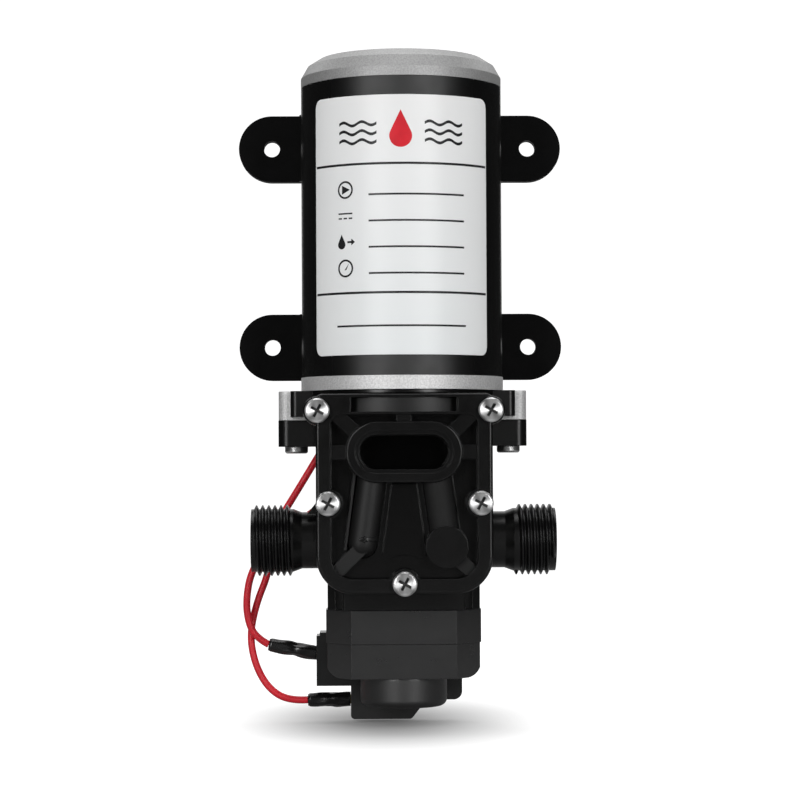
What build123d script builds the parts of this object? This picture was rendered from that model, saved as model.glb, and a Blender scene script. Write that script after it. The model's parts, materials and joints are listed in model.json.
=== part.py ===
from build123d import *
import math
import os

# Frame: +Z up the motor, +X to the right of the pump's face, -Y out of its face.
# The origin is the centre of the four foot holes, on the flat back of the feet.
# All lengths are millimetres.

# Clearances
STATIC_GAP = 0.04
RUNNING_GAP = 0.04
SCREW_GAP = 0.2
SOFT_GAP = 0.3
WIRE_GAP = 0.15
STACK_GAP = 0.02
TIP_GAP = 0.3

# How far a cut runs past a face, and how far a fused rib sinks into its wall
OVER = 1.0
SINK = 0.5

# Motor axis and casing
AXIS_TO_BASE = 31.0
CAN_RADIUS = 28.0
CAN_WALL = 2.0
CAN_TOP = 45.4
CAN_BOTTOM = -41.2
SLEEVE_WALL = 2.0
SLEEVE_BASE_WIDTH = 44.0

# Feet
FOOT_SPACING_X = 79.3
FOOT_SPACING_Z = 61.7
FOOT_END_RADIUS = 10.25
FOOT_THICKNESS = 4.5
FOOT_HOLE_RADIUS = 2.5
FOOT_RISER_WIDTH = 2.0
FOOT_RISER_HEIGHT = 3.0

# Label
LABEL_HALF_ANGLE = 55.6
LABEL_TOP = 39.3
LABEL_BOTTOM = -35.8
LABEL_THICKNESS = 0.2

# Rear cap
REAR_FLANGE_RADIUS = 30.0
REAR_FLANGE_HEIGHT = 2.9
REAR_CROWN_RADIUS = 28.0
REAR_CROWN_HEIGHT = 6.4
REAR_TOP_RADIUS = 24.5
REAR_CAP_HEIGHT = 8.6
CAP_SPIGOT_DEPTH = 3.0
CAP_SPIGOT_WALL = 2.0
CAP_CAVITY_HEIGHT = 2.6
BUSH_CEILING_HEIGHT = 5.6
BUSH_BOSS_DROP = 1.0

# Front bell
BELL_RADIUS = 30.2
BELL_THICKNESS = 4.1
LUG_HALF_SPAN = 36.9
LUG_INNER_HALF_SPAN = 27.5
LUG_DEPTH = 13.0
LUG_HEIGHT = 8.6
LUG_SCREW_X = 31.7
LUG_CORNER = 2.5
BELL_SPIGOT_HEIGHT = 3.0
BEARING_BOSS_WALL = 3.0
BEARING_BOSS_HEIGHT = 2.5
SHAFT_PASSAGE_RADIUS = 5.5

# Shaft and bearings
SHAFT_RADIUS = 2.5
SHAFT_BOTTOM = -71.0
SHAFT_END_GAP = 0.4
SHAFT_CHAMFER = 0.4
BUSH_OUTER_RADIUS = 5.0
BUSH_LENGTH = 4.4
BEARING_OUTER_RADIUS = 8.0
BEARING_WIDTH = 5.0
RACE_WALL = 1.55
BALL_COUNT = 8

# Armature
CORE_RADIUS = 19.6
CORE_LENGTH = 44.0
CORE_CENTRE_Z = 0.0
POLE_COUNT = 8
POLE_SLOT_WIDTH = 2.2
POLE_NECK_WIDTH = 5.0
POLE_TIP_THICKNESS = 2.2
CORE_HUB_RADIUS = 7.0
WINDING_GAP = 0.3
WINDING_SIDE_GAP = 0.2
END_TURN_LENGTH = 6.0
END_TURN_GAP = 0.2
END_TURN_EDGE = 2.0
COMMUTATOR_GAP = 0.5
COMMUTATOR_RADIUS = 8.5
COMMUTATOR_LENGTH = 11.0
COMMUTATOR_BARS = 8
BAR_GAP = 0.8

# Magnets
MAGNET_GAP = 0.8
MAGNET_HALF_ANGLE = 66.0
MAGNET_LENGTH = 54.0

# Brushes
BRUSH_CARD_THICKNESS = 2.0
BRUSH_WIDTH = 5.0
BRUSH_HEIGHT = 5.0
BRUSH_LENGTH = 9.0
BRUSH_INSET = 1.2
BRUSH_FACE_GAP = 0.05
BRUSH_CARD_GAP = 1.0
BRUSH_BOX_GAP = 1.2
BRUSH_BOX_MARGIN = 1.0
BRUSH_BOX_WALL = 0.8
BRUSH_BOX_END_WALL = 1.0
BRUSH_SPRING_RADIUS = 1.7
BRUSH_SPRING_WIRE = 0.3
BRUSH_SPRING_TURNS = 5

# Grommet and wire holes in the bell
GROMMET_CENTRE_X = -6.75
GROMMET_FROM_AXIS = 19.5
GROMMET_HALF_LENGTH = 8.7
GROMMET_RADIUS = 3.0
GROMMET_FLANGE = 0.8
GROMMET_FLANGE_THICKNESS = 1.2
WIRE_HOLE_PITCH = 3.8
WIRE_HOLE_COUNT = 4

# Pump housing
HOUSING_HALF_WIDTH = 22.5
HOUSING_BACK = -15.5
HOUSING_FRONT = -45.6
HOUSING_BOTTOM = -110.0
HOUSING_CORNER = 5.0
HOUSING_BAR_HALF_WIDTH = 33.2
HOUSING_BAR_HEIGHT = 7.6
HOUSING_LUG_HALF_SPAN = 37.0
HOUSING_LUG_HEIGHT = 7.8
HOUSING_LUG_CORNER = 3.0
HOUSING_BAR_SETBACK = 2.0
HOUSING_BAR_CORNER = 1.8
GROOVE_X = 19.1
GROOVE_WIDTH = 2.1
GROOVE_DEPTH = 4.6
GROOVE_HEIGHT = 12.0
DRIVE_HALF_WIDTH = 17.0
DRIVE_BOTTOM = -76.0
DRIVE_WALL = 2.5
SEAT_WALL = 2.0
FLANGE_THICKNESS = 6.0
COLLAR_RADIUS = 29.4
COLLAR_HEIGHT = 1.0
COLLAR_BACK_REACH = 8.0

# Ports
PORT_Z = -89.5
PORT_Y = -37.0
PORT_END_X = 45.0
THREAD_MAJOR_RADIUS = 10.48
THREAD_MINOR_RADIUS = 9.32
THREAD_PITCH = 1.814
THREAD_START_X = 32.6
THREAD_CREST = 0.38
THREAD_ROOT_SINK = 0.15
THREAD_ROOT_GAP = 0.11
PORT_NECK_RADIUS = 8.35
PORT_FLARE_LENGTH = 2.6
PORT_BORE_RADIUS = 6.5
PORT_BORE_END_X = 6.0
WAY_X = 12.2
WAY_RADIUS = 3.0
SENSE_X = -7.5
SENSE_Y = -36.0
GUSSET_HEIGHT = 3.8
GUSSET_LENGTH = 3.0
GUSSET_THICKNESS = 2.0

# Pump head stack, from the housing out to the cover's face
DIAPHRAGM_THICKNESS = 1.6
VALVE_PLATE_THICKNESS = 3.4
GASKET_THICKNESS = 0.8
COVER_DEPTH = 10.6
COVER_HALF_WIDTH = 25.5
COVER_TOP = -46.6
COVER_BOTTOM = -104.4
COVER_BOTTOM_RADIUS = 11.0
COVER_TOP_RADIUS = 2.0
COVER_RIM_WIDTH = 4.3
COVER_TOP_RIM_WIDTH = 6.0
COVER_RECESS_DEPTH = 4.6
COVER_RIB_DROP = 0.9
COVER_EDGE = 0.9
RECESS_TOP_CORNER = 3.0
TOP_WINDOW_HALF_WIDTH = 15.4
TOP_WINDOW_HEIGHT = 4.2
TOP_WINDOW_INSET = 1.1
TOP_WINDOW_DEPTH = 0.15

# Oval pocket in the cover
POCKET_Z = -63.5
POCKET_HALF_LENGTH = 13.0
POCKET_RADIUS = 5.0
POCKET_RING_WIDTH = 3.8
POCKET_RING_EDGE = 0.5
POCKET_RING_RECESS = 0.7
POCKET_LIP_WIDTH = 1.1
POCKET_DEPTH = 8.4

# Cover ribs and channels
RIB_WIDTH = 4.1
DIAGONAL_CORNER_X = 1.5
DIAGONAL_CORNER_Z = 1.0
DIAGONAL_FOOT_X = 12.0
DIAGONAL_FOOT_DROP = 3.0
LOW_RIB_CORNER_X = 1.0
LOW_RIB_CORNER_Z = 1.5
LOW_RIB_START = 1.0
LOW_RIB_DROP = 1.0
EDGE_RIB_OFFSET = 0.4
EDGE_RIB_WIDTH = 0.7
EDGE_RIB_HEIGHT = 1.6
EDGE_RIB_OVERRUN = 2.0
CHANNEL_RADIUS = 4.6
CHANNEL_TOP_X = 9.2
CHANNEL_TOP_Z = -69.5
LEFT_CHANNEL_END_X = -12.1
LEFT_CHANNEL_END_Z = -89.8
RIGHT_CHANNEL_END_X = 12.2
RIGHT_CHANNEL_END_Z = -90.9
PORT_BOSS_RADIUS = 6.1
PORT_BOSS_DROP = 0.3
PANEL_TOP_HALF_WIDTH = 3.6
PANEL_BOTTOM_HALF_WIDTH = 6.6
PANEL_TOP_Z = -72.6
PANEL_BOTTOM_Z = -94.2
PANEL_CORNER = 1.6
PANEL_SCALLOP_RADIUS = 8.0
PANEL_SCALLOP_RISE = 1.0
PANEL_PROUD = 0.6
ARROW_X = -10.6
ARROW_Z = -88.6
ARROW_LENGTH = 5.6
ARROW_HEIGHT = 2.0
ARROW_PROUD = 0.35

# Screws in the cover
COVER_SCREW_RADIUS = 1.7
COVER_SCREW_GRIP = 3.6
COVER_SCREW_HEAD_RADIUS = 3.55
COVER_SCREW_HEAD_HEIGHT = 2.3
COVER_BOSS_RADIUS = 4.2
CROSS_LENGTH = 4.1
CROSS_WIDTH = 0.8
CROSS_DEPTH = 1.4
CROSS_TURN = 61.0
HEAD_ROUND_SHARE = 0.35
SHANK_POINT_SHARE = 0.4
CROSS_DEPTH_SHARE = 0.7
TOP_SCREW_X = 25.0
TOP_SCREW_Z = -51.5
SIDE_SCREW_X = 22.0
SIDE_SCREW_Z = -78.3
BOTTOM_SCREW_Z = -101.4

# Lug screws
LUG_SCREW_RADIUS = 1.9
LUG_SCREW_HEAD_RADIUS = 3.45
LUG_SCREW_HEAD_HEIGHT = 2.0
LUG_SCREW_GRIP = 6.0

# Eccentric drive
ECCENTRIC_THROW = 0.8
ECCENTRIC_JOURNAL_RADIUS = 4.0
ECCENTRIC_HUB_RADIUS = 6.0
ECCENTRIC_HUB_HEIGHT = 7.0
SHOULDER_WIDTH = 0.6
SHOULDER_HEIGHT = 1.5
SET_SCREW_RADIUS = 1.25
SET_SCREW_RISE = 0.8
SET_SCREW_SUNK = 0.3
SET_SCREW_SOCKET = 1.3
SET_SCREW_SOCKET_DEPTH = 1.5
DRIVE_BEARING_RADIUS = 8.0
DRIVE_BEARING_WIDTH = 5.0
DRIVE_RACE_WALL = 1.1
DRIVE_BALL_COUNT = 12
PISTON_STROKE = 1.6
YOKE_MARGIN = 0.12
YOKE_WALL = 1.8
YOKE_BAR_DEPTH = 6.5
YOKE_HEIGHT = 6.0
YOKE_END_MARGIN = 1.4
YOKE_SCREW_DEPTH = 4.2
CHAMBER_X = 9.0
CHAMBER_RADIUS = 6.0
CHAMBER_DEPTH = 2.0
PISTON_RADIUS = 4.6
PISTON_LENGTH = 3.2
PISTON_PROUD = 0.4
PISTON_EDGE = 0.5
PISTON_STEM_RADIUS = 2.6
PISTON_SCREW_RADIUS = 1.25
PISTON_SCREW_HEAD_RADIUS = 2.4
PISTON_SCREW_HEAD_HEIGHT = 1.2
PISTON_SCREW_LENGTH = 5.0
PISTON_SLOT_WIDTH = 0.6
PISTON_SLOT_DEPTH = 0.6
PISTON_HEAD_GAP = 0.1

# Valves
VALVE_SPREAD = 2.9
VALVE_HOLES = 4
VALVE_HOLE_RADIUS = 0.45
VALVE_HOLE_OFFSET = 1.6
VALVE_FLAP_RADIUS = 2.6
VALVE_FLAP_THICKNESS = 0.5
VALVE_STEM_RADIUS = 0.7
VALVE_STEM_PROUD = 0.5
GALLERY_WIDTH = 5.6
GALLERY_DEPTH = 2.0
GALLERY_LEFT_X = 17.0

# Pressure switch body
SWITCH_HALF_WIDTH = 23.0
SWITCH_FLAT_HALF_WIDTH = 15.5
SWITCH_FRONT = -46.0
SWITCH_BACK = -19.4
SWITCH_CORNER_DEPTH = 9.0
SWITCH_SEAM_Z = -119.9
SWITCH_BOTTOM = -130.1
SWITCH_LOWER_INSET = 0.35
SWITCH_LOWER_RADIUS = 4.5
SWITCH_CHAMBER_RADIUS = 10.0
SWITCH_CHAMBER_DEPTH = 3.0
SWITCH_DIAPHRAGM_THICKNESS = 1.2
SWITCH_DIAPHRAGM_RADIUS = 11.8
PRESSURE_HOLE_RADIUS = 1.5
SWITCH_CAP_RADIUS = 12.9
SWITCH_CAP_BOTTOM = -138.9
SWITCH_CAP_EDGE = 2.2
SWITCH_CAP_WALL = 2.2
SWITCH_TRAVEL = 1.0
PLUNGER_RADIUS = 8.0
PLUNGER_FLANGE = 2.0
PLUNGER_ROOM_GAP = 1.0
PLUNGER_STEM_RADIUS = 2.4
PLUNGER_STEM_LENGTH = 3.0
PLUNGER_ARM_SINK = 0.8
PLUNGER_ARM_WIDTH = 4.0
SWITCH_SPRING_RADIUS = 4.4
SWITCH_SPRING_WIRE = 0.55
SWITCH_SPRING_TURNS = 4
ADJUSTER_RADIUS = 3.0
ADJUSTER_LENGTH = 5.0
ADJUSTER_RISE = 1.0
ADJUSTER_SUNK = 0.6
ADJUSTER_FLANGE = 1.6
ADJUSTER_FLANGE_THICKNESS = 1.0
ADJUSTER_SOCKET_RADIUS = 1.5
ADJUSTER_SOCKET_DEPTH = 3.2
SWITCH_SCREW_RADIUS = 1.4
SWITCH_SCREW_X = 16.5
SWITCH_SCREW_SPREAD = 6.0
SWITCH_SCREW_GRIP = 6.0
SWITCH_SCREW_HEAD_RADIUS = 2.6
SWITCH_SCREW_HEAD_HEIGHT = 1.5
SWITCH_SCREW_SUNK = 0.2

# Microswitch
MICRO_FRONT = -19.1
MICRO_THICKNESS = 10.3
MICRO_LEFT = -26.2
MICRO_TOP = -118.1
MICRO_STEP_X = -5.0
MICRO_SHELF_Z = -128.3
MICRO_RIGHT = 18.0
MICRO_RIGHT_BOTTOM = -138.6
MICRO_BOTTOM = -144.4
MICRO_FOOT_LEFT = -15.8
MICRO_FOOT_RIGHT = 2.6
MICRO_FOOT_SLOPE = 4.6
MICRO_LEFT_BOTTOM = -134.3
MICRO_NOTCH = 1.0
MICRO_CORNER = 2.6
MICRO_FOOT_CORNER = 1.2
MICRO_SCREW_X = -10.0
MICRO_SCREW_DROP = 4.0
MICRO_SCREW_PITCH = 4.4
MICRO_SCREW_RADIUS = 1.0
MICRO_SCREW_GRIP = 3.6
MICRO_SCREW_HEAD_RADIUS = 1.9
MICRO_SCREW_HEAD_HEIGHT = 1.2
BUTTON_X = 2.0
BUTTON_RADIUS = 1.5
BUTTON_PROUD = 1.6
BUTTON_EDGE = 0.3
BUTTON_SPRING_GAP = 0.45
BUTTON_SPRING_WIRE = 0.2
BUTTON_SPRING_TURNS = 5
BUTTON_LENGTH = 3.0
BUTTON_SPRING_LENGTH = 4.0
ARM_GAP = 0.1
TERMINAL_THICKNESS = 0.8
TERMINAL_WIDTH = 2.8
TERMINAL_LENGTH = 8.0
TERMINAL_ROOT = 4.0
UPPER_TERMINAL_Z = -124.6
LOWER_TERMINAL_Z = -138.7

# Wires and their crimp sleeves
WIRE_RADIUS = 1.1
CRIMP_RADIUS = 2.35
CRIMP_GAP = 0.12
CRIMP_START_WAIST = 0.2
CRIMP_SHOULDER = 2.0
CRIMP_TAPER_START = 0.6
CRIMP_END_WAIST = 0.3
CRIMP_END_ROUND = 0.25
CRIMP_END_LENGTH = 0.6
TERMINAL_SLOT_GAP = 0.03
UPPER_CRIMP_END = (-40.8, -14.0, -122.0)
LOWER_CRIMP_END = (-28.9, -14.0, -138.9)
UPPER_WIRE_ROUTE = [
    UPPER_CRIMP_END,
    (-44.3, -14.0, -120.1),
    (-46.9, -14.1, -115.9),
    (-47.8, -14.3, -108.6),
    (-46.0, -14.5, -98.9),
    (-38.6, -13.9, -88.8),
    (-25.0, -12.6, -80.5),
    (-14.5, -12.4, -69.5),
    (-8.65, -11.5, -57.5),
    (-8.65, -11.5, -43.5),
]
LOWER_WIRE_ROUTE = [
    LOWER_CRIMP_END,
    (-34.5, -13.8, -139.2),
    (-40.6, -13.2, -135.9),
    (-44.9, -12.2, -128.9),
    (-46.8, -11.0, -119.7),
    (-44.8, -10.0, -109.7),
    (-40.8, -9.2, -100.0),
    (-39.2, -8.9, -86.6),
    (-30.6, -9.0, -72.8),
    (-22.0, -9.8, -58.6),
    (-12.45, -11.5, -51.2),
    (-12.45, -11.5, -43.5),
]
BEND_SHARE = 0.45

# Places worked out from the sizes above
AXIS_Y = -AXIS_TO_BASE
SLEEVE_RADIUS = CAN_RADIUS + SLEEVE_WALL
CAN_INNER = CAN_RADIUS - CAN_WALL
BELL_BOTTOM = CAN_BOTTOM - BELL_THICKNESS
LUG_BOTTOM = BELL_BOTTOM - LUG_HEIGHT
HOUSING_TOP = BELL_BOTTOM
PLATE_BACK = HOUSING_FRONT - DIAPHRAGM_THICKNESS
PLATE_FRONT = PLATE_BACK - VALVE_PLATE_THICKNESS
COVER_BACK = PLATE_FRONT - GASKET_THICKNESS
COVER_FRONT = COVER_BACK - COVER_DEPTH
VALVE_WEB = VALVE_PLATE_THICKNESS - CHAMBER_DEPTH
RECESS_FLOOR = COVER_FRONT + COVER_RECESS_DEPTH
GROMMET_Y = AXIS_Y + GROMMET_FROM_AXIS
DRIVE_Z = POCKET_Z
COVER_SCREWS = [
    (-TOP_SCREW_X, TOP_SCREW_Z),
    (TOP_SCREW_X, TOP_SCREW_Z),
    (-SIDE_SCREW_X, SIDE_SCREW_Z),
    (SIDE_SCREW_X, SIDE_SCREW_Z),
    (0.0, BOTTOM_SCREW_Z),
]


def save(shape, node):
    """Writes one node's solids to its own file."""
    export_step(Compound(children=list(shape.solids())), f"parts/{node}.step")


def block(x_span, y_span, z_span):
    """A box between the lower and upper value on each axis."""
    size = [span[1] - span[0] for span in (x_span, y_span, z_span)]
    centre = [(span[0] + span[1]) / 2 for span in (x_span, y_span, z_span)]
    return Pos(*centre) * Box(*size)


def rod_z(x, y, radius, z_low, z_high):
    """A round bar along Z."""
    return Pos(x, y, (z_low + z_high) / 2) * Cylinder(radius, z_high - z_low)


def rod_y(x, z, radius, y_back, y_front):
    """A round bar along Y, from its back end to its front end."""
    bar = Rot(90, 0, 0) * Cylinder(radius, abs(y_back - y_front))
    return Pos(x, (y_back + y_front) / 2, z) * bar


def rod_x(y, z, radius, x_low, x_high):
    """A round bar along X."""
    bar = Rot(0, 90, 0) * Cylinder(radius, x_high - x_low)
    return Pos((x_low + x_high) / 2, y, z) * bar


def face_slab(sketch, y_back, y_front):
    """A sketch in X and Z, drawn out from its back plane towards the pump's face."""
    return extrude(Plane.XZ.offset(-y_back) * sketch, amount=y_back - y_front)


def level_slab(sketch, z_low, z_high):
    """A sketch in X and Y, drawn up from its lower plane."""
    return extrude(Plane.XY.offset(z_low) * sketch, amount=z_high - z_low)


def tube_z(outer, inner, z_low, z_high, x=0.0, y=AXIS_Y):
    """A straight tube along Z, on the motor's axis unless a place is given."""
    return rod_z(x, y, outer, z_low, z_high) - rod_z(x, y, inner, z_low - OVER, z_high + OVER)


def spring_z(radius, wire, turns, z_low, z_high):
    """A round-wire spring along Z with its end turns at the two heights."""
    height = z_high - z_low - 2 * wire
    path = Pos(0, 0, z_low + wire) * Helix(height / turns, height, radius)
    section = Plane(origin=path @ 0, z_dir=path % 0) * Circle(wire)
    return sweep(section, path=path, is_frenet=True)


def cross_cut(depth_axis_top, depth):
    """The driver recess of a screw head, pointing down from the head's top."""
    bar = Box(CROSS_LENGTH, CROSS_WIDTH, depth)
    both = bar + Rot(0, 0, 90) * bar
    return Pos(0, 0, depth_axis_top - depth / 2) * Rot(0, 0, CROSS_TURN) * both


def pan_screw(radius, length, head_radius, head_height):
    """A pan-head screw on its own Z axis, head up, its seat at zero."""
    head = Cylinder(head_radius, head_height, align=(Align.CENTER, Align.CENTER, Align.MIN))
    head = fillet(head.edges().sort_by(Axis.Z)[-1], head_height * HEAD_ROUND_SHARE)
    shank = Cylinder(radius, length, align=(Align.CENTER, Align.CENTER, Align.MAX))
    shank = chamfer(shank.edges().sort_by(Axis.Z)[0], radius * SHANK_POINT_SHARE)
    return head + shank - cross_cut(head_height, min(CROSS_DEPTH, head_height * CROSS_DEPTH_SHARE))


# Motor casing


def foot_centres():
    """The four foot holes, in X and Z."""
    return [(sx * FOOT_SPACING_X / 2, sz * FOOT_SPACING_Z / 2) for sx in (-1, 1) for sz in (-1, 1)]


def motor_can():
    return tube_z(CAN_RADIUS, CAN_INNER, CAN_BOTTOM, CAN_TOP)


def foot(x, z):
    """One ear: a flat tab with a round end about its hole, and a riser where it meets the sleeve."""
    side = math.copysign(1, x)
    inner = side * SLEEVE_BASE_WIDTH / 2
    span = sorted((inner, x))
    tab = block(span, (-FOOT_THICKNESS, 0), (z - FOOT_END_RADIUS, z + FOOT_END_RADIUS))
    tab += rod_y(x, z, FOOT_END_RADIUS, 0, -FOOT_THICKNESS)
    riser_span = sorted((inner, side * (SLEEVE_RADIUS + FOOT_RISER_WIDTH / 2)))
    riser_y = (-FOOT_THICKNESS - FOOT_RISER_HEIGHT, 0)
    return tab + block(riser_span, riser_y, (z - FOOT_END_RADIUS, z + FOOT_END_RADIUS))


def motor_sleeve():
    """The rubber sleeve with its flat base and four feet."""
    ring = Circle(SLEEVE_RADIUS)
    base = Pos(0, AXIS_TO_BASE / 2) * Rectangle(SLEEVE_BASE_WIDTH, AXIS_TO_BASE)
    profile = Pos(0, AXIS_Y) * (ring + base)
    sleeve = level_slab(profile, CAN_BOTTOM, CAN_TOP)
    for x, z in foot_centres():
        sleeve += foot(x, z)
    sleeve -= rod_z(0, AXIS_Y, CAN_RADIUS + STATIC_GAP, CAN_BOTTOM - OVER, CAN_TOP + OVER)
    for x, z in foot_centres():
        sleeve -= rod_y(x, z, FOOT_HOLE_RADIUS, OVER, -FOOT_THICKNESS - OVER)
    return sleeve


def rating_label():
    """The blank label, wrapped round the sleeve's front."""
    inner = SLEEVE_RADIUS + STATIC_GAP
    skin = tube_z(inner + LABEL_THICKNESS, inner, LABEL_BOTTOM, LABEL_TOP)
    half = math.radians(LABEL_HALF_ANGLE)
    reach = SLEEVE_RADIUS * 2
    corner_x = reach * math.sin(half)
    corner_y = -reach * math.cos(half)
    wedge = Pos(0, AXIS_Y) * make_face(
        Polyline((0, 0), (corner_x, corner_y), (0, -2 * reach), (-corner_x, corner_y), close=True)
    )
    return skin & level_slab(wedge, LABEL_BOTTOM - OVER, LABEL_TOP + OVER)


def rear_cap():
    """The cast rear cap: flange, soft crown, a spigot in the can and a pocket for the rear bush."""
    top = CAN_TOP + REAR_CAP_HEIGHT
    spigot_outer = CAN_INNER - STATIC_GAP
    bush_hole = BUSH_OUTER_RADIUS + STATIC_GAP
    ceiling = CAN_TOP + BUSH_CEILING_HEIGHT
    cavity_top = CAN_TOP + CAP_CAVITY_HEIGHT
    outline = Polyline(
        (0, ceiling),
        (0, top),
        (REAR_TOP_RADIUS, top),
        (REAR_CROWN_RADIUS, CAN_TOP + REAR_CROWN_HEIGHT),
        (REAR_FLANGE_RADIUS, CAN_TOP + REAR_FLANGE_HEIGHT),
        (REAR_FLANGE_RADIUS, CAN_TOP + STATIC_GAP),
        (spigot_outer, CAN_TOP + STATIC_GAP),
        (spigot_outer, CAN_TOP - CAP_SPIGOT_DEPTH),
        (spigot_outer - CAP_SPIGOT_WALL, CAN_TOP - CAP_SPIGOT_DEPTH),
        (spigot_outer - CAP_SPIGOT_WALL, cavity_top),
        (bush_hole + CAP_SPIGOT_WALL, cavity_top),
        (bush_hole + CAP_SPIGOT_WALL, CAN_TOP - BUSH_BOSS_DROP),
        (bush_hole, CAN_TOP - BUSH_BOSS_DROP),
        (bush_hole, ceiling),
        close=True,
    )
    profile = Plane.XZ * make_face(outline)
    return Pos(0, AXIS_Y, 0) * revolve(profile, Axis.Z)


def bell_lug(side):
    """One side lug under the front bell, with its tapped hole."""
    span = sorted((side * LUG_INNER_HALF_SPAN, side * LUG_HALF_SPAN))
    depth = (AXIS_Y - LUG_DEPTH / 2, AXIS_Y + LUG_DEPTH / 2)
    lug = block(span, depth, (LUG_BOTTOM, BELL_BOTTOM))
    outer = lug.edges().filter_by(Axis.Z).group_by(Axis.X)[-1 if side > 0 else 0]
    lug = fillet(outer, LUG_CORNER)
    hole = LUG_SCREW_RADIUS + STATIC_GAP
    return lug - rod_z(side * LUG_SCREW_X, AXIS_Y, hole, LUG_BOTTOM - OVER, BELL_BOTTOM)


def front_bell():
    """The cast front bell: a disc with a spigot, a bearing pocket, a wire slot and two side lugs."""
    spigot_top = CAN_BOTTOM + BELL_SPIGOT_HEIGHT
    boss_top = CAN_BOTTOM + BEARING_BOSS_HEIGHT
    bearing_hole = BEARING_OUTER_RADIUS + STATIC_GAP
    bell = rod_z(0, AXIS_Y, BELL_RADIUS, BELL_BOTTOM, CAN_BOTTOM - STATIC_GAP)
    bell += rod_z(0, AXIS_Y, CAN_INNER - STATIC_GAP, BELL_BOTTOM, spigot_top)
    bell -= rod_z(0, AXIS_Y, CAN_INNER - CAP_SPIGOT_WALL, CAN_BOTTOM, spigot_top + OVER)
    bell += rod_z(0, AXIS_Y, BEARING_OUTER_RADIUS + BEARING_BOSS_WALL, CAN_BOTTOM - OVER, boss_top)
    for side in (-1, 1):
        bell += bell_lug(side)
    bell -= rod_z(0, AXIS_Y, bearing_hole, BELL_BOTTOM - OVER, BELL_BOTTOM + BEARING_WIDTH)
    bell -= rod_z(0, AXIS_Y, SHAFT_PASSAGE_RADIUS, BELL_BOTTOM, boss_top + OVER)
    return bell - grommet_slot(GROMMET_RADIUS + STATIC_GAP, BELL_BOTTOM - OVER, spigot_top + OVER)


def grommet_slot(radius, z_low, z_high):
    """The oval that the grommet's neck fills."""
    length = 2 * (GROMMET_HALF_LENGTH - GROMMET_RADIUS + radius)
    oval = Pos(GROMMET_CENTRE_X, GROMMET_Y) * SlotOverall(length, 2 * radius)
    return level_slab(oval, z_low, z_high)


def wire_holes():
    """Places of the grommet's holes along X, the wires' first."""
    first = GROMMET_CENTRE_X - WIRE_HOLE_PITCH * (WIRE_HOLE_COUNT - 1) / 2
    return [first + WIRE_HOLE_PITCH * index for index in range(WIRE_HOLE_COUNT)]


def wire_grommet():
    """The rubber grommet: a neck in the bell's slot, a flange below it, and round holes for the wires."""
    flange_low = BELL_BOTTOM - GROMMET_FLANGE_THICKNESS
    body = grommet_slot(GROMMET_RADIUS, flange_low, CAN_BOTTOM)
    body += grommet_slot(GROMMET_RADIUS + GROMMET_FLANGE, flange_low, BELL_BOTTOM - STATIC_GAP)
    for x in wire_holes():
        body -= rod_z(x, GROMMET_Y, WIRE_RADIUS + WIRE_GAP, flange_low - OVER, CAN_BOTTOM + OVER)
    return body


# Motor insides


def field_magnets():
    """Two arc magnets glued inside the can."""
    outer = CAN_INNER - STATIC_GAP
    inner = CORE_RADIUS + MAGNET_GAP
    low = CORE_CENTRE_Z - MAGNET_LENGTH / 2
    ring = tube_z(outer, inner, low, low + MAGNET_LENGTH)
    half = math.radians(MAGNET_HALF_ANGLE)
    reach = CAN_RADIUS * 3
    magnets = []
    for side in (-1, 1):
        corner = (side * reach * math.cos(half), reach * math.sin(half))
        wedge = Pos(0, AXIS_Y) * make_face(
            Polyline((0, 0), corner, (side * 2 * reach, 0), (corner[0], -corner[1]), close=True)
        )
        magnets.append(ring & level_slab(wedge, low - OVER, low + MAGNET_LENGTH + OVER))
    return Compound(children=magnets)


def rear_bush():
    high = CAN_TOP + BUSH_CEILING_HEIGHT - STATIC_GAP
    return tube_z(BUSH_OUTER_RADIUS, SHAFT_RADIUS + RUNNING_GAP, high - BUSH_LENGTH, high)


def commutator_span():
    """The commutator's lower and upper ends."""
    low = CORE_CENTRE_Z + CORE_LENGTH / 2 + END_TURN_LENGTH + COMMUTATOR_GAP
    return low, low + COMMUTATOR_LENGTH


def armature_shaft():
    top = CAN_TOP + BUSH_CEILING_HEIGHT - SHAFT_END_GAP
    shaft = rod_z(0, AXIS_Y, SHAFT_RADIUS, SHAFT_BOTTOM, top)
    return chamfer(shaft.edges(), SHAFT_CHAMFER)


def armature_core():
    """The laminated core: a hub, one neck for each pole and the poles' rounded tips."""
    bottom = CORE_CENTRE_Z - CORE_LENGTH / 2
    tip_inner = CORE_RADIUS - POLE_TIP_THICKNESS
    profile = Circle(CORE_HUB_RADIUS) + (Circle(CORE_RADIUS) - Circle(tip_inner))
    for index in range(POLE_COUNT):
        turn = Rot(0, 0, 360 / POLE_COUNT * index)
        profile += turn * Pos(CORE_RADIUS / 2, 0) * Rectangle(tip_inner, POLE_NECK_WIDTH)
    for index in range(POLE_COUNT):
        turn = Rot(0, 0, 360 / POLE_COUNT * (index + 0.5))
        profile -= turn * Pos(CORE_RADIUS, 0) * Rectangle(3 * POLE_TIP_THICKNESS, POLE_SLOT_WIDTH)
    profile -= Circle(SHAFT_RADIUS + STATIC_GAP)
    return level_slab(Pos(0, AXIS_Y) * profile, bottom, bottom + CORE_LENGTH)


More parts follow.
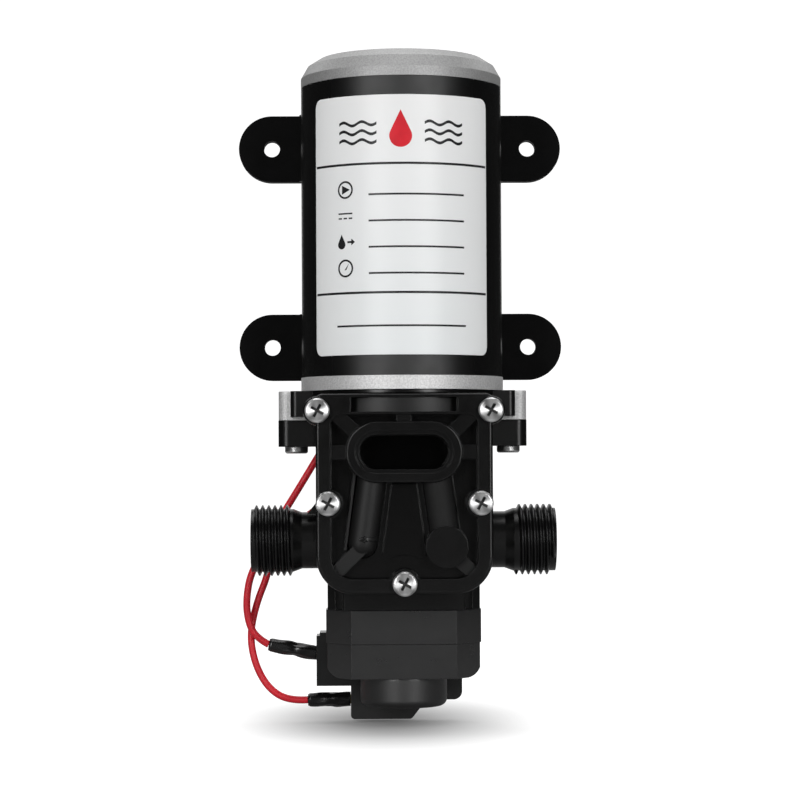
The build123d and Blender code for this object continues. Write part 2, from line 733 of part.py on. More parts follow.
def armature_windings():
    """The enamelled coils: a bundle in each slot, joined by the end turns above and below the core."""
    bottom = CORE_CENTRE_Z - CORE_LENGTH / 2
    top = bottom + CORE_LENGTH
    ring = Circle(CORE_RADIUS - POLE_TIP_THICKNESS - WINDING_GAP) - Circle(CORE_HUB_RADIUS + WINDING_GAP)
    slots = ring
    for index in range(POLE_COUNT):
        turn = Rot(0, 0, 360 / POLE_COUNT * index)
        neck = Rectangle(CORE_RADIUS * 2, POLE_NECK_WIDTH + 2 * WINDING_SIDE_GAP)
        slots -= turn * Pos(CORE_RADIUS / 2, 0) * neck
    coils = level_slab(Pos(0, AXIS_Y) * slots, bottom - OVER, top + OVER)
    for z_low in (bottom - END_TURN_LENGTH, top + END_TURN_GAP):
        end = level_slab(Pos(0, AXIS_Y) * ring, z_low, z_low + END_TURN_LENGTH - END_TURN_GAP)
        coils += fillet(end.edges().filter_by(GeomType.CIRCLE).group_by(SortBy.LENGTH)[-1], END_TURN_EDGE)
    return coils


def commutator():
    """Copper bars round a sleeve on the shaft, parted by narrow slots."""
    low, high = commutator_span()
    profile = Circle(COMMUTATOR_RADIUS) - Circle(SHAFT_RADIUS + STATIC_GAP)
    for index in range(COMMUTATOR_BARS):
        turn = Rot(0, 0, 360 / COMMUTATOR_BARS * index)
        profile -= turn * Pos(COMMUTATOR_RADIUS, 0) * Rectangle(2 * BAR_GAP, BAR_GAP)
    return level_slab(Pos(0, AXIS_Y) * profile, low, high)


def brush_height():
    """The middle of the brushes, on the commutator."""
    low, high = commutator_span()
    return high - BRUSH_HEIGHT / 2 - BRUSH_INSET


def brush_card():
    """The card that carries the two brush boxes, held in the can below the cap's spigot."""
    base = brush_height() - BRUSH_HEIGHT / 2 - STATIC_GAP
    roof = base + BRUSH_HEIGHT + 2 * STATIC_GAP
    card_hole = COMMUTATOR_RADIUS + BRUSH_CARD_GAP
    card = tube_z(CAN_INNER - STATIC_GAP, card_hole, base - BRUSH_CARD_THICKNESS, base)
    inner = COMMUTATOR_RADIUS + BRUSH_BOX_GAP
    outer = CAN_INNER - BRUSH_BOX_MARGIN
    half = BRUSH_WIDTH / 2 + STATIC_GAP
    wide = half + BRUSH_BOX_WALL
    for side in (-1, 1):
        box_span = sorted((side * inner, side * outer))
        box = block(box_span, (AXIS_Y - wide, AXIS_Y + wide), (base - STATIC_GAP, roof + BRUSH_BOX_WALL))
        tunnel_span = sorted((side * (inner - OVER), side * (outer - BRUSH_BOX_END_WALL)))
        card += box - block(tunnel_span, (AXIS_Y - half, AXIS_Y + half), (base, roof))
    return card


def carbon_brushes():
    z_mid = brush_height()
    start = COMMUTATOR_RADIUS + BRUSH_FACE_GAP
    brushes = []
    for side in (-1, 1):
        x_span = sorted((side * start, side * (start + BRUSH_LENGTH)))
        y_span = (AXIS_Y - BRUSH_WIDTH / 2, AXIS_Y + BRUSH_WIDTH / 2)
        brush = block(x_span, y_span, (z_mid - BRUSH_HEIGHT / 2, z_mid + BRUSH_HEIGHT / 2))
        brushes.append(brush - rod_z(0, AXIS_Y, start, z_mid - BRUSH_HEIGHT, z_mid + BRUSH_HEIGHT))
    return Compound(children=brushes)


def brush_springs():
    """The springs behind the brushes, ending on the brush boxes' outer walls."""
    start = COMMUTATOR_RADIUS + 2 * BRUSH_FACE_GAP + BRUSH_LENGTH
    end = CAN_INNER - BRUSH_BOX_MARGIN - BRUSH_BOX_END_WALL - BRUSH_FACE_GAP
    spring = spring_z(BRUSH_SPRING_RADIUS, BRUSH_SPRING_WIRE, BRUSH_SPRING_TURNS, start, end)
    springs = []
    for side in (-1, 1):
        springs.append(Pos(0, AXIS_Y, brush_height()) * Rot(0, side * 90, 0) * spring)
    return Compound(children=springs)


# Bearings


def race(outer, inner, width, low, x=0.0, y=AXIS_Y):
    return tube_z(outer, inner, low, low + width, x, y)


def ball_path(outer, inner, wall):
    """The balls' pitch radius and their own radius between two races."""
    room_outer = outer - wall
    room_inner = inner + wall
    return (room_outer + room_inner) / 2, (room_outer - room_inner) / 2 - RUNNING_GAP


def balls(outer, inner, wall, middle, count, x=0.0, y=AXIS_Y):
    """One ring of balls between two races."""
    pitch, radius = ball_path(outer, inner, wall)
    ring = []
    for index in range(count):
        angle = math.radians(360 / count * index)
        ring.append(Pos(x + pitch * math.cos(angle), y + pitch * math.sin(angle), middle) * Sphere(radius))
    return Compound(children=ring)


def motor_bearing():
    """The front bearing's outer race, inner race and balls."""
    low = BELL_BOTTOM + STACK_GAP
    width = BEARING_WIDTH - 2 * STACK_GAP
    inner = SHAFT_RADIUS + STATIC_GAP
    outer_race = race(BEARING_OUTER_RADIUS, BEARING_OUTER_RADIUS - RACE_WALL, width, low)
    inner_race = race(inner + RACE_WALL, inner, width, low)
    ring = balls(BEARING_OUTER_RADIUS, inner, RACE_WALL, low + width / 2, BALL_COUNT)
    return outer_race, inner_race, ring


# Pump housing and ports


def rounded_outline(half_width, top, bottom, top_radius, bottom_radius):
    """A plate's outline in X and Z with its own radius at the top and the bottom corners."""
    height = top - bottom
    plate = Pos(0, (top + bottom) / 2) * Rectangle(2 * half_width, height)
    plate = fillet(plate.vertices().group_by(Axis.Y)[0], bottom_radius)
    return fillet(plate.vertices().group_by(Axis.Y)[-1], top_radius)


def head_outline():
    """The head's outline with a boss at each upper screw."""
    outline = rounded_outline(
        COVER_HALF_WIDTH, COVER_TOP, COVER_BOTTOM, COVER_TOP_RADIUS, COVER_BOTTOM_RADIUS
    )
    for side in (-1, 1):
        outline += Pos(side * TOP_SCREW_X, TOP_SCREW_Z) * Circle(COVER_BOSS_RADIUS)
    return outline


def head_screw_holes(radius, y_back, y_front):
    """The five screw holes through one layer of the head."""
    holes = []
    for x, z in COVER_SCREWS:
        holes.append(rod_y(x, z, radius, y_back, y_front))
    return holes


def water_ways(y_back, y_front):
    """The outlet's and the inlet's holes from the ports to the cover."""
    return [
        rod_y(-WAY_X, PORT_Z, WAY_RADIUS, y_back, y_front),
        rod_y(WAY_X, PORT_Z, WAY_RADIUS, y_back, y_front),
    ]


def threaded_end():
    """The port's threaded end along Z from zero: a root cylinder and one helical ridge on it."""
    length = PORT_END_X - THREAD_START_X
    root = Cylinder(THREAD_MINOR_RADIUS, length, align=(Align.CENTER, Align.CENTER, Align.MIN))
    sunk = THREAD_MINOR_RADIUS - THREAD_ROOT_SINK
    path = Pos(0, 0, THREAD_PITCH / 2) * Helix(THREAD_PITCH, length - THREAD_PITCH, sunk)
    high = THREAD_MAJOR_RADIUS - sunk
    crest = THREAD_CREST / 2
    foot_half = THREAD_PITCH / 2 - THREAD_ROOT_GAP
    section = Polyline((0, -foot_half), (high, -crest), (high, crest), (0, foot_half), close=True)
    plane = Plane(origin=path @ 0, x_dir=(1, 0, 0), z_dir=path % 0)
    ridge = sweep(plane * make_face(section), path=path, is_frenet=True)
    return root + ridge


def port(side):
    """One port: a neck, a flare and the threaded end. The outlet's is the inlet's turned half round."""
    start = DRIVE_HALF_WIDTH + DRIVE_WALL + OVER
    outline = Polyline(
        (0, start),
        (PORT_NECK_RADIUS, start),
        (PORT_NECK_RADIUS, THREAD_START_X - PORT_FLARE_LENGTH),
        (THREAD_MINOR_RADIUS, THREAD_START_X),
        (PORT_BORE_RADIUS, THREAD_START_X + OVER),
        (0, THREAD_START_X + OVER),
        close=True,
    )
    neck = revolve(Plane.XZ * make_face(outline), Axis.Z)
    spout = neck + Pos(0, 0, THREAD_START_X) * threaded_end()
    turn = 0 if side > 0 else 180
    return Pos(0, PORT_Y, PORT_Z) * Rot(0, 0, turn) * Rot(0, 90, 0) * spout


def port_gusset():
    """The small web between the outlet's neck and the head."""
    top = PORT_Z + PORT_NECK_RADIUS + GUSSET_HEIGHT
    low = PORT_Z + PORT_NECK_RADIUS - SINK
    foot_x = -COVER_HALF_WIDTH - GUSSET_LENGTH
    wall_x = -COVER_HALF_WIDTH + SINK
    web = Polyline((foot_x, low), (wall_x, top), (wall_x, low), close=True)
    middle = HOUSING_FRONT + FLANGE_THICKNESS / 2
    return face_slab(make_face(web), middle + GUSSET_THICKNESS / 2, middle - GUSSET_THICKNESS / 2)


def housing_core():
    """The housing's chamfered block with a groove down each front corner."""
    depth = HOUSING_BACK - HOUSING_FRONT
    profile = Pos(0, (HOUSING_BACK + HOUSING_FRONT) / 2) * Rectangle(2 * HOUSING_HALF_WIDTH, depth)
    profile = chamfer(profile.vertices(), HOUSING_CORNER)
    core = level_slab(profile, HOUSING_BOTTOM, HOUSING_TOP - STATIC_GAP)
    half = GROOVE_WIDTH / 2
    for side in (-1, 1):
        x_span = (side * GROOVE_X - half, side * GROOVE_X + half)
        y_span = (HOUSING_FRONT - OVER, HOUSING_FRONT + GROOVE_DEPTH)
        core -= block(x_span, y_span, (HOUSING_BOTTOM - OVER, HOUSING_BOTTOM + GROOVE_HEIGHT))
    return core


def housing_bar():
    """The bar across the housing's top, in front of the bell's lugs."""
    top = HOUSING_TOP - STATIC_GAP
    lug_front = AXIS_Y - LUG_DEPTH / 2 - STATIC_GAP
    x_span = (-HOUSING_BAR_HALF_WIDTH, HOUSING_BAR_HALF_WIDTH)
    y_span = (HOUSING_FRONT + HOUSING_BAR_SETBACK, lug_front)
    bar = block(x_span, y_span, (top - HOUSING_BAR_HEIGHT, top))
    front = bar.edges().filter_by(Axis.Z).group_by(Axis.Y)[0]
    return fillet(front, HOUSING_BAR_CORNER)


def housing_lug(side):
    """One side lug of the housing, under the bell's lug."""
    top = LUG_BOTTOM - STATIC_GAP
    span = sorted((side * (HOUSING_HALF_WIDTH - HOUSING_CORNER), side * HOUSING_LUG_HALF_SPAN))
    lug = block(span, (AXIS_Y - LUG_DEPTH / 2, AXIS_Y + LUG_DEPTH / 2), (top - HOUSING_LUG_HEIGHT, top))
    outer = lug.edges().filter_by(Axis.Z).group_by(Axis.X)[-1 if side > 0 else 0]
    return fillet(outer, HOUSING_LUG_CORNER)


def housing_body():
    """The housing's outside, before its holes."""
    body = housing_core() + face_slab(head_outline(), HOUSING_FRONT + FLANGE_THICKNESS, HOUSING_FRONT)
    body += housing_bar()
    for side in (-1, 1):
        body += housing_lug(side)
    return body + housing_collar() + port_gusset()


def housing_collar():
    """The thin round collar under the front bell, cut away at the bell's lugs and behind the axis."""
    top = HOUSING_TOP - STATIC_GAP
    collar = rod_z(0, AXIS_Y, COLLAR_RADIUS, top - COLLAR_HEIGHT, top)
    y_span = (AXIS_Y - BELL_RADIUS, AXIS_Y + COLLAR_BACK_REACH)
    collar &= block((-BELL_RADIUS, BELL_RADIUS), y_span, (top - COLLAR_HEIGHT, top + OVER))
    room = LUG_DEPTH / 2 + SCREW_GAP
    z_span = (top - COLLAR_HEIGHT - OVER, top + OVER)
    for side in (-1, 1):
        span = sorted((side * (LUG_INNER_HALF_SPAN - SCREW_GAP), side * LUG_HALF_SPAN))
        collar -= block(span, (AXIS_Y - room, AXIS_Y + room), z_span)
    return collar


def housing_port_hole(side):
    """The port's bore, from its open end to its blind end inside the housing."""
    x_span = sorted((side * PORT_BORE_END_X, side * (PORT_END_X + OVER)))
    return rod_x(PORT_Y, PORT_Z, PORT_BORE_RADIUS, *x_span)


def housing_drive_room():
    """The room for the eccentric and the yoke, with a round opening for each piston."""
    y_span = (HOUSING_FRONT + SEAT_WALL, HOUSING_BACK - DRIVE_WALL)
    room = block((-DRIVE_HALF_WIDTH, DRIVE_HALF_WIDTH), y_span, (DRIVE_BOTTOM, HOUSING_TOP + OVER))
    for side in (-1, 1):
        hole = PISTON_RADIUS + 2 * SOFT_GAP
        room += rod_y(side * CHAMBER_X, DRIVE_Z, hole, y_span[0] + OVER, HOUSING_FRONT - OVER)
    return room


def pump_housing():
    """The dry housing: drive room, diaphragm seat, both ports, and holes for every screw."""
    body = housing_body()
    lug_low = LUG_BOTTOM - HOUSING_LUG_HEIGHT - OVER
    for side in (-1, 1):
        body += port(side)
    body -= housing_drive_room()
    for side in (-1, 1):
        body -= housing_port_hole(side)
        body -= rod_z(side * LUG_SCREW_X, AXIS_Y, LUG_SCREW_RADIUS + SCREW_GAP, lug_low, LUG_BOTTOM)
    for way in water_ways(PORT_Y, HOUSING_FRONT - OVER):
        body -= way
    screw_tip = HOUSING_FRONT + COVER_SCREW_GRIP + TIP_GAP
    for hole in head_screw_holes(COVER_SCREW_RADIUS + STATIC_GAP, screw_tip, HOUSING_FRONT - OVER):
        body -= hole
    body -= rod_z(SENSE_X, SENSE_Y, PRESSURE_HOLE_RADIUS, HOUSING_BOTTOM - OVER, PORT_Z)
    screw_tip = HOUSING_BOTTOM + SWITCH_SCREW_GRIP + TIP_GAP
    for x, y in switch_screw_places():
        body -= rod_z(x, y, SWITCH_SCREW_RADIUS + STATIC_GAP, HOUSING_BOTTOM - OVER, screw_tip)
    return body


# Pump head


def diaphragm():
    """The rubber diaphragm sheet, with round openings at the pistons and the water ways."""
    sheet = face_slab(head_outline(), HOUSING_FRONT - STACK_GAP, PLATE_BACK + STACK_GAP)
    back = HOUSING_FRONT + OVER
    front = PLATE_BACK - OVER
    for side in (-1, 1):
        sheet -= rod_y(side * CHAMBER_X, DRIVE_Z, PISTON_RADIUS + SOFT_GAP, back, front)
    for cut in water_ways(back, front):
        sheet -= cut
    for cut in head_screw_holes(COVER_SCREW_RADIUS + SCREW_GAP, back, front):
        sheet -= cut
    return sheet


def valve_places():
    """Centres of the inlet valves, then of the outlet valves, in X and Z."""
    inlets = [(side * CHAMBER_X, DRIVE_Z - VALVE_SPREAD) for side in (-1, 1)]
    outlets = [(side * CHAMBER_X, DRIVE_Z + VALVE_SPREAD) for side in (-1, 1)]
    return inlets, outlets


def valve_seat(x, z, y_back, y_front):
    """The holes of one valve seat: the stem's and the ring of water holes round it."""
    holes = rod_y(x, z, VALVE_STEM_RADIUS + STATIC_GAP, y_back, y_front)
    for index in range(VALVE_HOLES):
        angle = math.radians(360 / VALVE_HOLES * (index + 0.5))
        hole_x = x + VALVE_HOLE_OFFSET * math.cos(angle)
        hole_z = z + VALVE_HOLE_OFFSET * math.sin(angle)
        holes += rod_y(hole_x, hole_z, VALVE_HOLE_RADIUS, y_back, y_front)
    return holes


def valve_plate():
    """The plate with a chamber over each piston, seats for the valves and the water ways."""
    plate = face_slab(head_outline(), PLATE_BACK, PLATE_FRONT)
    back = PLATE_BACK + OVER
    front = PLATE_FRONT - OVER
    for side in (-1, 1):
        plate -= rod_y(side * CHAMBER_X, DRIVE_Z, CHAMBER_RADIUS, back, PLATE_BACK - CHAMBER_DEPTH)
    inlets, outlets = valve_places()
    for x, z in inlets + outlets:
        plate -= valve_seat(x, z, back, front)
    for cut in water_ways(back, front):
        plate -= cut
    for cut in head_screw_holes(COVER_SCREW_RADIUS + SCREW_GAP, back, front):
        plate -= cut
    return plate


def umbrella_valve(x, z, seat_y, side):
    """A rubber umbrella valve: a thin disc on its seat and a stem. Side +1 opens backwards."""
    disc_front = seat_y + side * STACK_GAP
    disc_back = disc_front + side * VALVE_FLAP_THICKNESS
    stem_end = seat_y - side * (VALVE_WEB + VALVE_STEM_PROUD)
    valve = rod_y(x, z, VALVE_FLAP_RADIUS, disc_front, disc_back)
    return valve + rod_y(x, z, VALVE_STEM_RADIUS, disc_back, stem_end)


def inlet_valves():
    inlets, _ = valve_places()
    seat = PLATE_BACK - CHAMBER_DEPTH
    return Compound(children=[umbrella_valve(x, z, seat, 1) for x, z in inlets])


def outlet_valves():
    _, outlets = valve_places()
    return Compound(children=[umbrella_valve(x, z, PLATE_FRONT, -1) for x, z in outlets])


def galleries(y_back, y_front):
    """The two water galleries, from the valves to the water ways."""
    half = GALLERY_WIDTH / 2
    top = DRIVE_Z + VALVE_SPREAD
    low = DRIVE_Z - VALVE_SPREAD
    y_span = (y_front, y_back)
    left = -GALLERY_LEFT_X
    outlet = block((left - half, CHAMBER_X + half), y_span, (top - half, top + half))
    outlet += block((left - half, left + half), y_span, (PORT_Z - half, top))
    outlet += block((left, -WAY_X + half), y_span, (PORT_Z - half, PORT_Z + half))
    inlet = block((-CHAMBER_X - half, WAY_X + half), y_span, (low - half, low + half))
    inlet += block((WAY_X - half, WAY_X + half), y_span, (PORT_Z - half, low))
    return outlet, inlet


def head_gasket():
    gasket = face_slab(head_outline(), PLATE_FRONT - STACK_GAP, COVER_BACK + STACK_GAP)
    back = PLATE_FRONT + OVER
    front = COVER_BACK - OVER
    for cut in galleries(back, front):
        gasket -= cut
    for cut in head_screw_holes(COVER_SCREW_RADIUS + SCREW_GAP, back, front):
        gasket -= cut
    return gasket


def rib(start, end, width, y_front):
    """A straight rib between two points of the cover's recess, flat on top."""
    run = math.dist(start, end)
    angle = math.degrees(math.atan2(end[1] - start[1], end[0] - start[0]))
    middle = ((start[0] + end[0]) / 2, (start[1] + end[1]) / 2)
    strip = Pos(*middle) * Rot(0, 0, angle) * Rectangle(run, width)
    return face_slab(strip, RECESS_FLOOR + SINK, y_front)


def channel_frame(start, end):
    """A frame at a channel's upper end whose Z runs down the channel, and the channel's length."""
    y_mid = COVER_FRONT + COVER_RIB_DROP + CHANNEL_RADIUS
    run = Vector(end[0], y_mid, end[1]) - Vector(start[0], y_mid, start[1])
    return Plane(origin=(start[0], y_mid, start[1]), z_dir=run), run.length


def channel(start, end, domed):
    """A half-round channel wall that stands out of the recess."""
    frame, length = channel_frame(start, end)
    bar = frame * Cylinder(CHANNEL_RADIUS, length, align=(Align.CENTER, Align.CENTER, Align.MIN))
    if domed:
        bar += frame * Pos(0, 0, length) * Sphere(CHANNEL_RADIUS)
    y_span = (COVER_FRONT, RECESS_FLOOR + SINK)
    return bar & block((-COVER_HALF_WIDTH, COVER_HALF_WIDTH), y_span, (COVER_BOTTOM, COVER_TOP))


def oval(half_length, radius):
    """A stadium outline at the pocket's centre."""
    return Pos(0, POCKET_Z) * SlotOverall(2 * half_length, 2 * radius)


def pocket_ring():
    """The raised oval ring round the pocket."""
    outer = oval(POCKET_HALF_LENGTH + POCKET_RING_WIDTH, POCKET_RADIUS + POCKET_RING_WIDTH)
    ring = face_slab(outer, RECESS_FLOOR + SINK, COVER_FRONT)
    return fillet(ring.edges().group_by(Axis.Y)[0], POCKET_RING_EDGE)


def flow_arrow():
    """The raised flow arrow on the outlet's channel, pointing at the outlet."""
    tip = ARROW_X - ARROW_LENGTH / 2
    tail = ARROW_X + ARROW_LENGTH / 2
    neck = tip + ARROW_HEIGHT
    outline = Polyline(
        (tip, ARROW_Z),
        (neck, ARROW_Z + ARROW_HEIGHT / 2),
        (neck, ARROW_Z + ARROW_HEIGHT / 4),
        (tail, ARROW_Z + ARROW_HEIGHT / 4),
        (tail, ARROW_Z - ARROW_HEIGHT / 4),
        (neck, ARROW_Z - ARROW_HEIGHT / 4),
        (neck, ARROW_Z - ARROW_HEIGHT / 2),
        close=True,
    )
    blank = face_slab(make_face(outline), RECESS_FLOOR, COVER_FRONT)
    frame, length = channel_frame(
        (-CHANNEL_TOP_X, CHANNEL_TOP_Z), (LEFT_CHANNEL_END_X, LEFT_CHANNEL_END_Z)
    )
    reach = length + ARROW_LENGTH
    skin = Cylinder(CHANNEL_RADIUS + ARROW_PROUD, reach, align=(Align.CENTER, Align.CENTER, Align.MIN))
    return blank & (frame * skin)


def side_ribs(side):
    """One side's ribs: to the ring's end, to the upper corner and to the lower corner."""
    top = COVER_FRONT + COVER_RIB_DROP
    inner_x = COVER_HALF_WIDTH - COVER_RIM_WIDTH / 2
    inner_top = COVER_TOP - COVER_TOP_RIM_WIDTH / 2
    ring_x = POCKET_HALF_LENGTH + POCKET_RING_WIDTH / 2
    ring_top = POCKET_Z + POCKET_RADIUS + POCKET_RING_WIDTH / 2
    ribs = rib((side * inner_x, POCKET_Z), (side * ring_x, POCKET_Z), RIB_WIDTH, top)
    corner = (side * (inner_x - DIAGONAL_CORNER_X), inner_top - DIAGONAL_CORNER_Z)
    ribs += rib(corner, (side * DIAGONAL_FOOT_X, ring_top - DIAGONAL_FOOT_DROP), RIB_WIDTH, top)
    low_x = COVER_HALF_WIDTH - COVER_RIM_WIDTH - LOW_RIB_CORNER_X
    low_corner = (side * low_x, COVER_BOTTOM + COVER_RIM_WIDTH + LOW_RIB_CORNER_Z)
    end_x = LEFT_CHANNEL_END_X if side < 0 else RIGHT_CHANNEL_END_X
    end_z = LEFT_CHANNEL_END_Z if side < 0 else RIGHT_CHANNEL_END_Z
    return ribs + rib((end_x, end_z - LOW_RIB_START), low_corner, RIB_WIDTH, top + LOW_RIB_DROP)


def cover_ribs():
    """The ribs from the rim to the pocket's ring and to the corners."""
    inner_top = COVER_TOP - COVER_TOP_RIM_WIDTH / 2
    ring_top = POCKET_Z + POCKET_RADIUS + POCKET_RING_WIDTH / 2
    ribs = rib((0, inner_top), (0, ring_top), RIB_WIDTH, COVER_FRONT + COVER_RIB_DROP)
    for side in (-1, 1):
        ribs += side_ribs(side)
    return ribs


def edge_rib():
    """The thin rib down the outer side of the outlet's channel."""
    offset = CHANNEL_RADIUS + EDGE_RIB_OFFSET
    start = (-CHANNEL_TOP_X - offset, CHANNEL_TOP_Z)
    end = (LEFT_CHANNEL_END_X - offset, LEFT_CHANNEL_END_Z - EDGE_RIB_OVERRUN)
    return rib(start, end, EDGE_RIB_WIDTH, RECESS_FLOOR - EDGE_RIB_HEIGHT)


def top_window():
    """The cut in the rim over the pocket: its floor is round about the motor's axis."""
    top = COVER_TOP - TOP_WINDOW_INSET
    low = top - TOP_WINDOW_HEIGHT
    x_span = (-TOP_WINDOW_HALF_WIDTH, TOP_WINDOW_HALF_WIDTH)
    floor = AXIS_Y - COVER_FRONT - TOP_WINDOW_DEPTH
    window = block(x_span, (COVER_FRONT - OVER, AXIS_Y), (low, top))
    return window - rod_z(0, AXIS_Y, floor, low - OVER, top + OVER)


def cover_shell():
    """The cover's plate with its rim, recess, screw bosses and top window."""
    shell = face_slab(head_outline(), COVER_BACK, COVER_FRONT)
    shell = fillet(shell.edges().group_by(Axis.Y)[0], COVER_EDGE)
    recess = rounded_outline(
        COVER_HALF_WIDTH - COVER_RIM_WIDTH,
        COVER_TOP - COVER_TOP_RIM_WIDTH,
        COVER_BOTTOM + COVER_RIM_WIDTH,
        RECESS_TOP_CORNER,
        COVER_BOTTOM_RADIUS - COVER_RIM_WIDTH,
    )
    for x, z in COVER_SCREWS[2:]:
        recess -= Pos(x, z) * Circle(COVER_BOSS_RADIUS)
    return shell - face_slab(recess, RECESS_FLOOR, COVER_FRONT - OVER) - top_window()


def cover_panel():
    """The tapered panel between the channels, with a scalloped lower edge."""
    outline = Polyline(
        (-PANEL_TOP_HALF_WIDTH, PANEL_TOP_Z),
        (PANEL_TOP_HALF_WIDTH, PANEL_TOP_Z),
        (PANEL_BOTTOM_HALF_WIDTH, PANEL_BOTTOM_Z),
        (-PANEL_BOTTOM_HALF_WIDTH, PANEL_BOTTOM_Z),
        close=True,
    )
    panel = make_face(outline)
    panel = fillet(panel.vertices().group_by(Axis.Y)[0], PANEL_CORNER)
    scallop_z = PANEL_BOTTOM_Z + PANEL_SCALLOP_RISE - PANEL_SCALLOP_RADIUS
    panel -= Pos(0, scallop_z) * Circle(PANEL_SCALLOP_RADIUS)
    return face_slab(panel, RECESS_FLOOR + SINK, RECESS_FLOOR - PANEL_PROUD)


def cover_relief():
    """All that stands in the cover's recess."""
    left_end = (LEFT_CHANNEL_END_X, LEFT_CHANNEL_END_Z)
    right_end = (RIGHT_CHANNEL_END_X, RIGHT_CHANNEL_END_Z)
    relief = cover_ribs() + cover_panel() + pocket_ring() + edge_rib()
    relief += channel((-CHANNEL_TOP_X, CHANNEL_TOP_Z), left_end, True)
    relief += channel((CHANNEL_TOP_X, CHANNEL_TOP_Z), right_end, False)
    relief += rod_y(*right_end, PORT_BOSS_RADIUS, RECESS_FLOOR + SINK, COVER_FRONT + PORT_BOSS_DROP)
    return relief + flow_arrow()


def pump_cover():
    """The ribbed head cover with its oval pocket, channels and water galleries."""
    cover = cover_shell() + cover_relief()
    lip = oval(POCKET_HALF_LENGTH + POCKET_LIP_WIDTH, POCKET_RADIUS + POCKET_LIP_WIDTH)
    pocket = oval(POCKET_HALF_LENGTH, POCKET_RADIUS)
    cover -= face_slab(lip, COVER_FRONT + POCKET_RING_RECESS, COVER_FRONT - OVER)
    cover -= face_slab(pocket, COVER_FRONT + POCKET_DEPTH, COVER_FRONT - OVER)
    for cut in galleries(COVER_BACK + OVER, COVER_BACK - GALLERY_DEPTH):
        cover -= cut
    for cut in head_screw_holes(COVER_SCREW_RADIUS + SCREW_GAP, COVER_BACK + OVER, COVER_FRONT - OVER):
        cover -= cut
    return cover


def cover_screws():
    seat = COVER_FRONT - STACK_GAP
    length = HOUSING_FRONT + COVER_SCREW_GRIP - seat
    screw = pan_screw(COVER_SCREW_RADIUS, length, COVER_SCREW_HEAD_RADIUS, COVER_SCREW_HEAD_HEIGHT)
    return Compound(children=[Pos(x, seat, z) * Rot(90, 0, 0) * screw for x, z in COVER_SCREWS])


def lug_screws():
    """The two screws that hold the pump housing to the motor's lugs, from below."""
    seat = LUG_BOTTOM - STATIC_GAP - HOUSING_LUG_HEIGHT - STACK_GAP
    length = HOUSING_LUG_HEIGHT + LUG_SCREW_GRIP
    screw = pan_screw(LUG_SCREW_RADIUS, length, LUG_SCREW_HEAD_RADIUS, LUG_SCREW_HEAD_HEIGHT)
    screws = [Pos(side * LUG_SCREW_X, AXIS_Y, seat) * Rot(180, 0, 0) * screw for side in (-1, 1)]
    return Compound(children=screws)


# Eccentric drive


def set_screw_z():
    """The height of the set screw, in the eccentric's hub."""
    return DRIVE_Z + DRIVE_BEARING_WIDTH / 2 + ECCENTRIC_HUB_HEIGHT / 2 + SET_SCREW_RISE


def eccentric():
    """The eccentric: a journal off the shaft's axis, a shoulder and a hub with a set screw's hole."""
    low = DRIVE_Z - DRIVE_BEARING_WIDTH / 2
    high = DRIVE_Z + DRIVE_BEARING_WIDTH / 2
    hub_top = high + ECCENTRIC_HUB_HEIGHT
    body = rod_z(ECCENTRIC_THROW, AXIS_Y, ECCENTRIC_JOURNAL_RADIUS - STATIC_GAP, low, high)
    body += rod_z(0, AXIS_Y, ECCENTRIC_HUB_RADIUS, high + STACK_GAP, hub_top)
    shoulder = ECCENTRIC_JOURNAL_RADIUS + SHOULDER_WIDTH
    body += rod_z(ECCENTRIC_THROW, AXIS_Y, shoulder, high, high + SHOULDER_HEIGHT)
    body -= rod_z(0, AXIS_Y, SHAFT_RADIUS + STATIC_GAP, low - OVER, hub_top + OVER)
    hole = SET_SCREW_RADIUS + STATIC_GAP
    return body - rod_x(AXIS_Y, set_screw_z(), hole, -ECCENTRIC_HUB_RADIUS - OVER, 0)


def set_screw():
    start = -ECCENTRIC_HUB_RADIUS + SET_SCREW_SUNK
    screw = rod_x(AXIS_Y, set_screw_z(), SET_SCREW_RADIUS, start, -SHAFT_RADIUS - STATIC_GAP)
    half = SET_SCREW_SOCKET / 2
    socket = block(
        (start - OVER, start + SET_SCREW_SOCKET_DEPTH),
        (AXIS_Y - half, AXIS_Y + half),
        (set_screw_z() - half, set_screw_z() + half),
    )
    return screw - socket


def drive_bearing():
    """The eccentric's bearing: outer race, inner race and balls, all off the shaft's axis."""
    low = DRIVE_Z - DRIVE_BEARING_WIDTH / 2
    outer = DRIVE_BEARING_RADIUS
    inner = ECCENTRIC_JOURNAL_RADIUS
    x = ECCENTRIC_THROW
    outer_race = race(outer, outer - DRIVE_RACE_WALL, DRIVE_BEARING_WIDTH, low, x)
    inner_race = race(inner + DRIVE_RACE_WALL, inner, DRIVE_BEARING_WIDTH, low, x)
    ring = balls(outer, inner, DRIVE_RACE_WALL, DRIVE_Z, DRIVE_BALL_COUNT, x)
    return outer_race, inner_race, ring


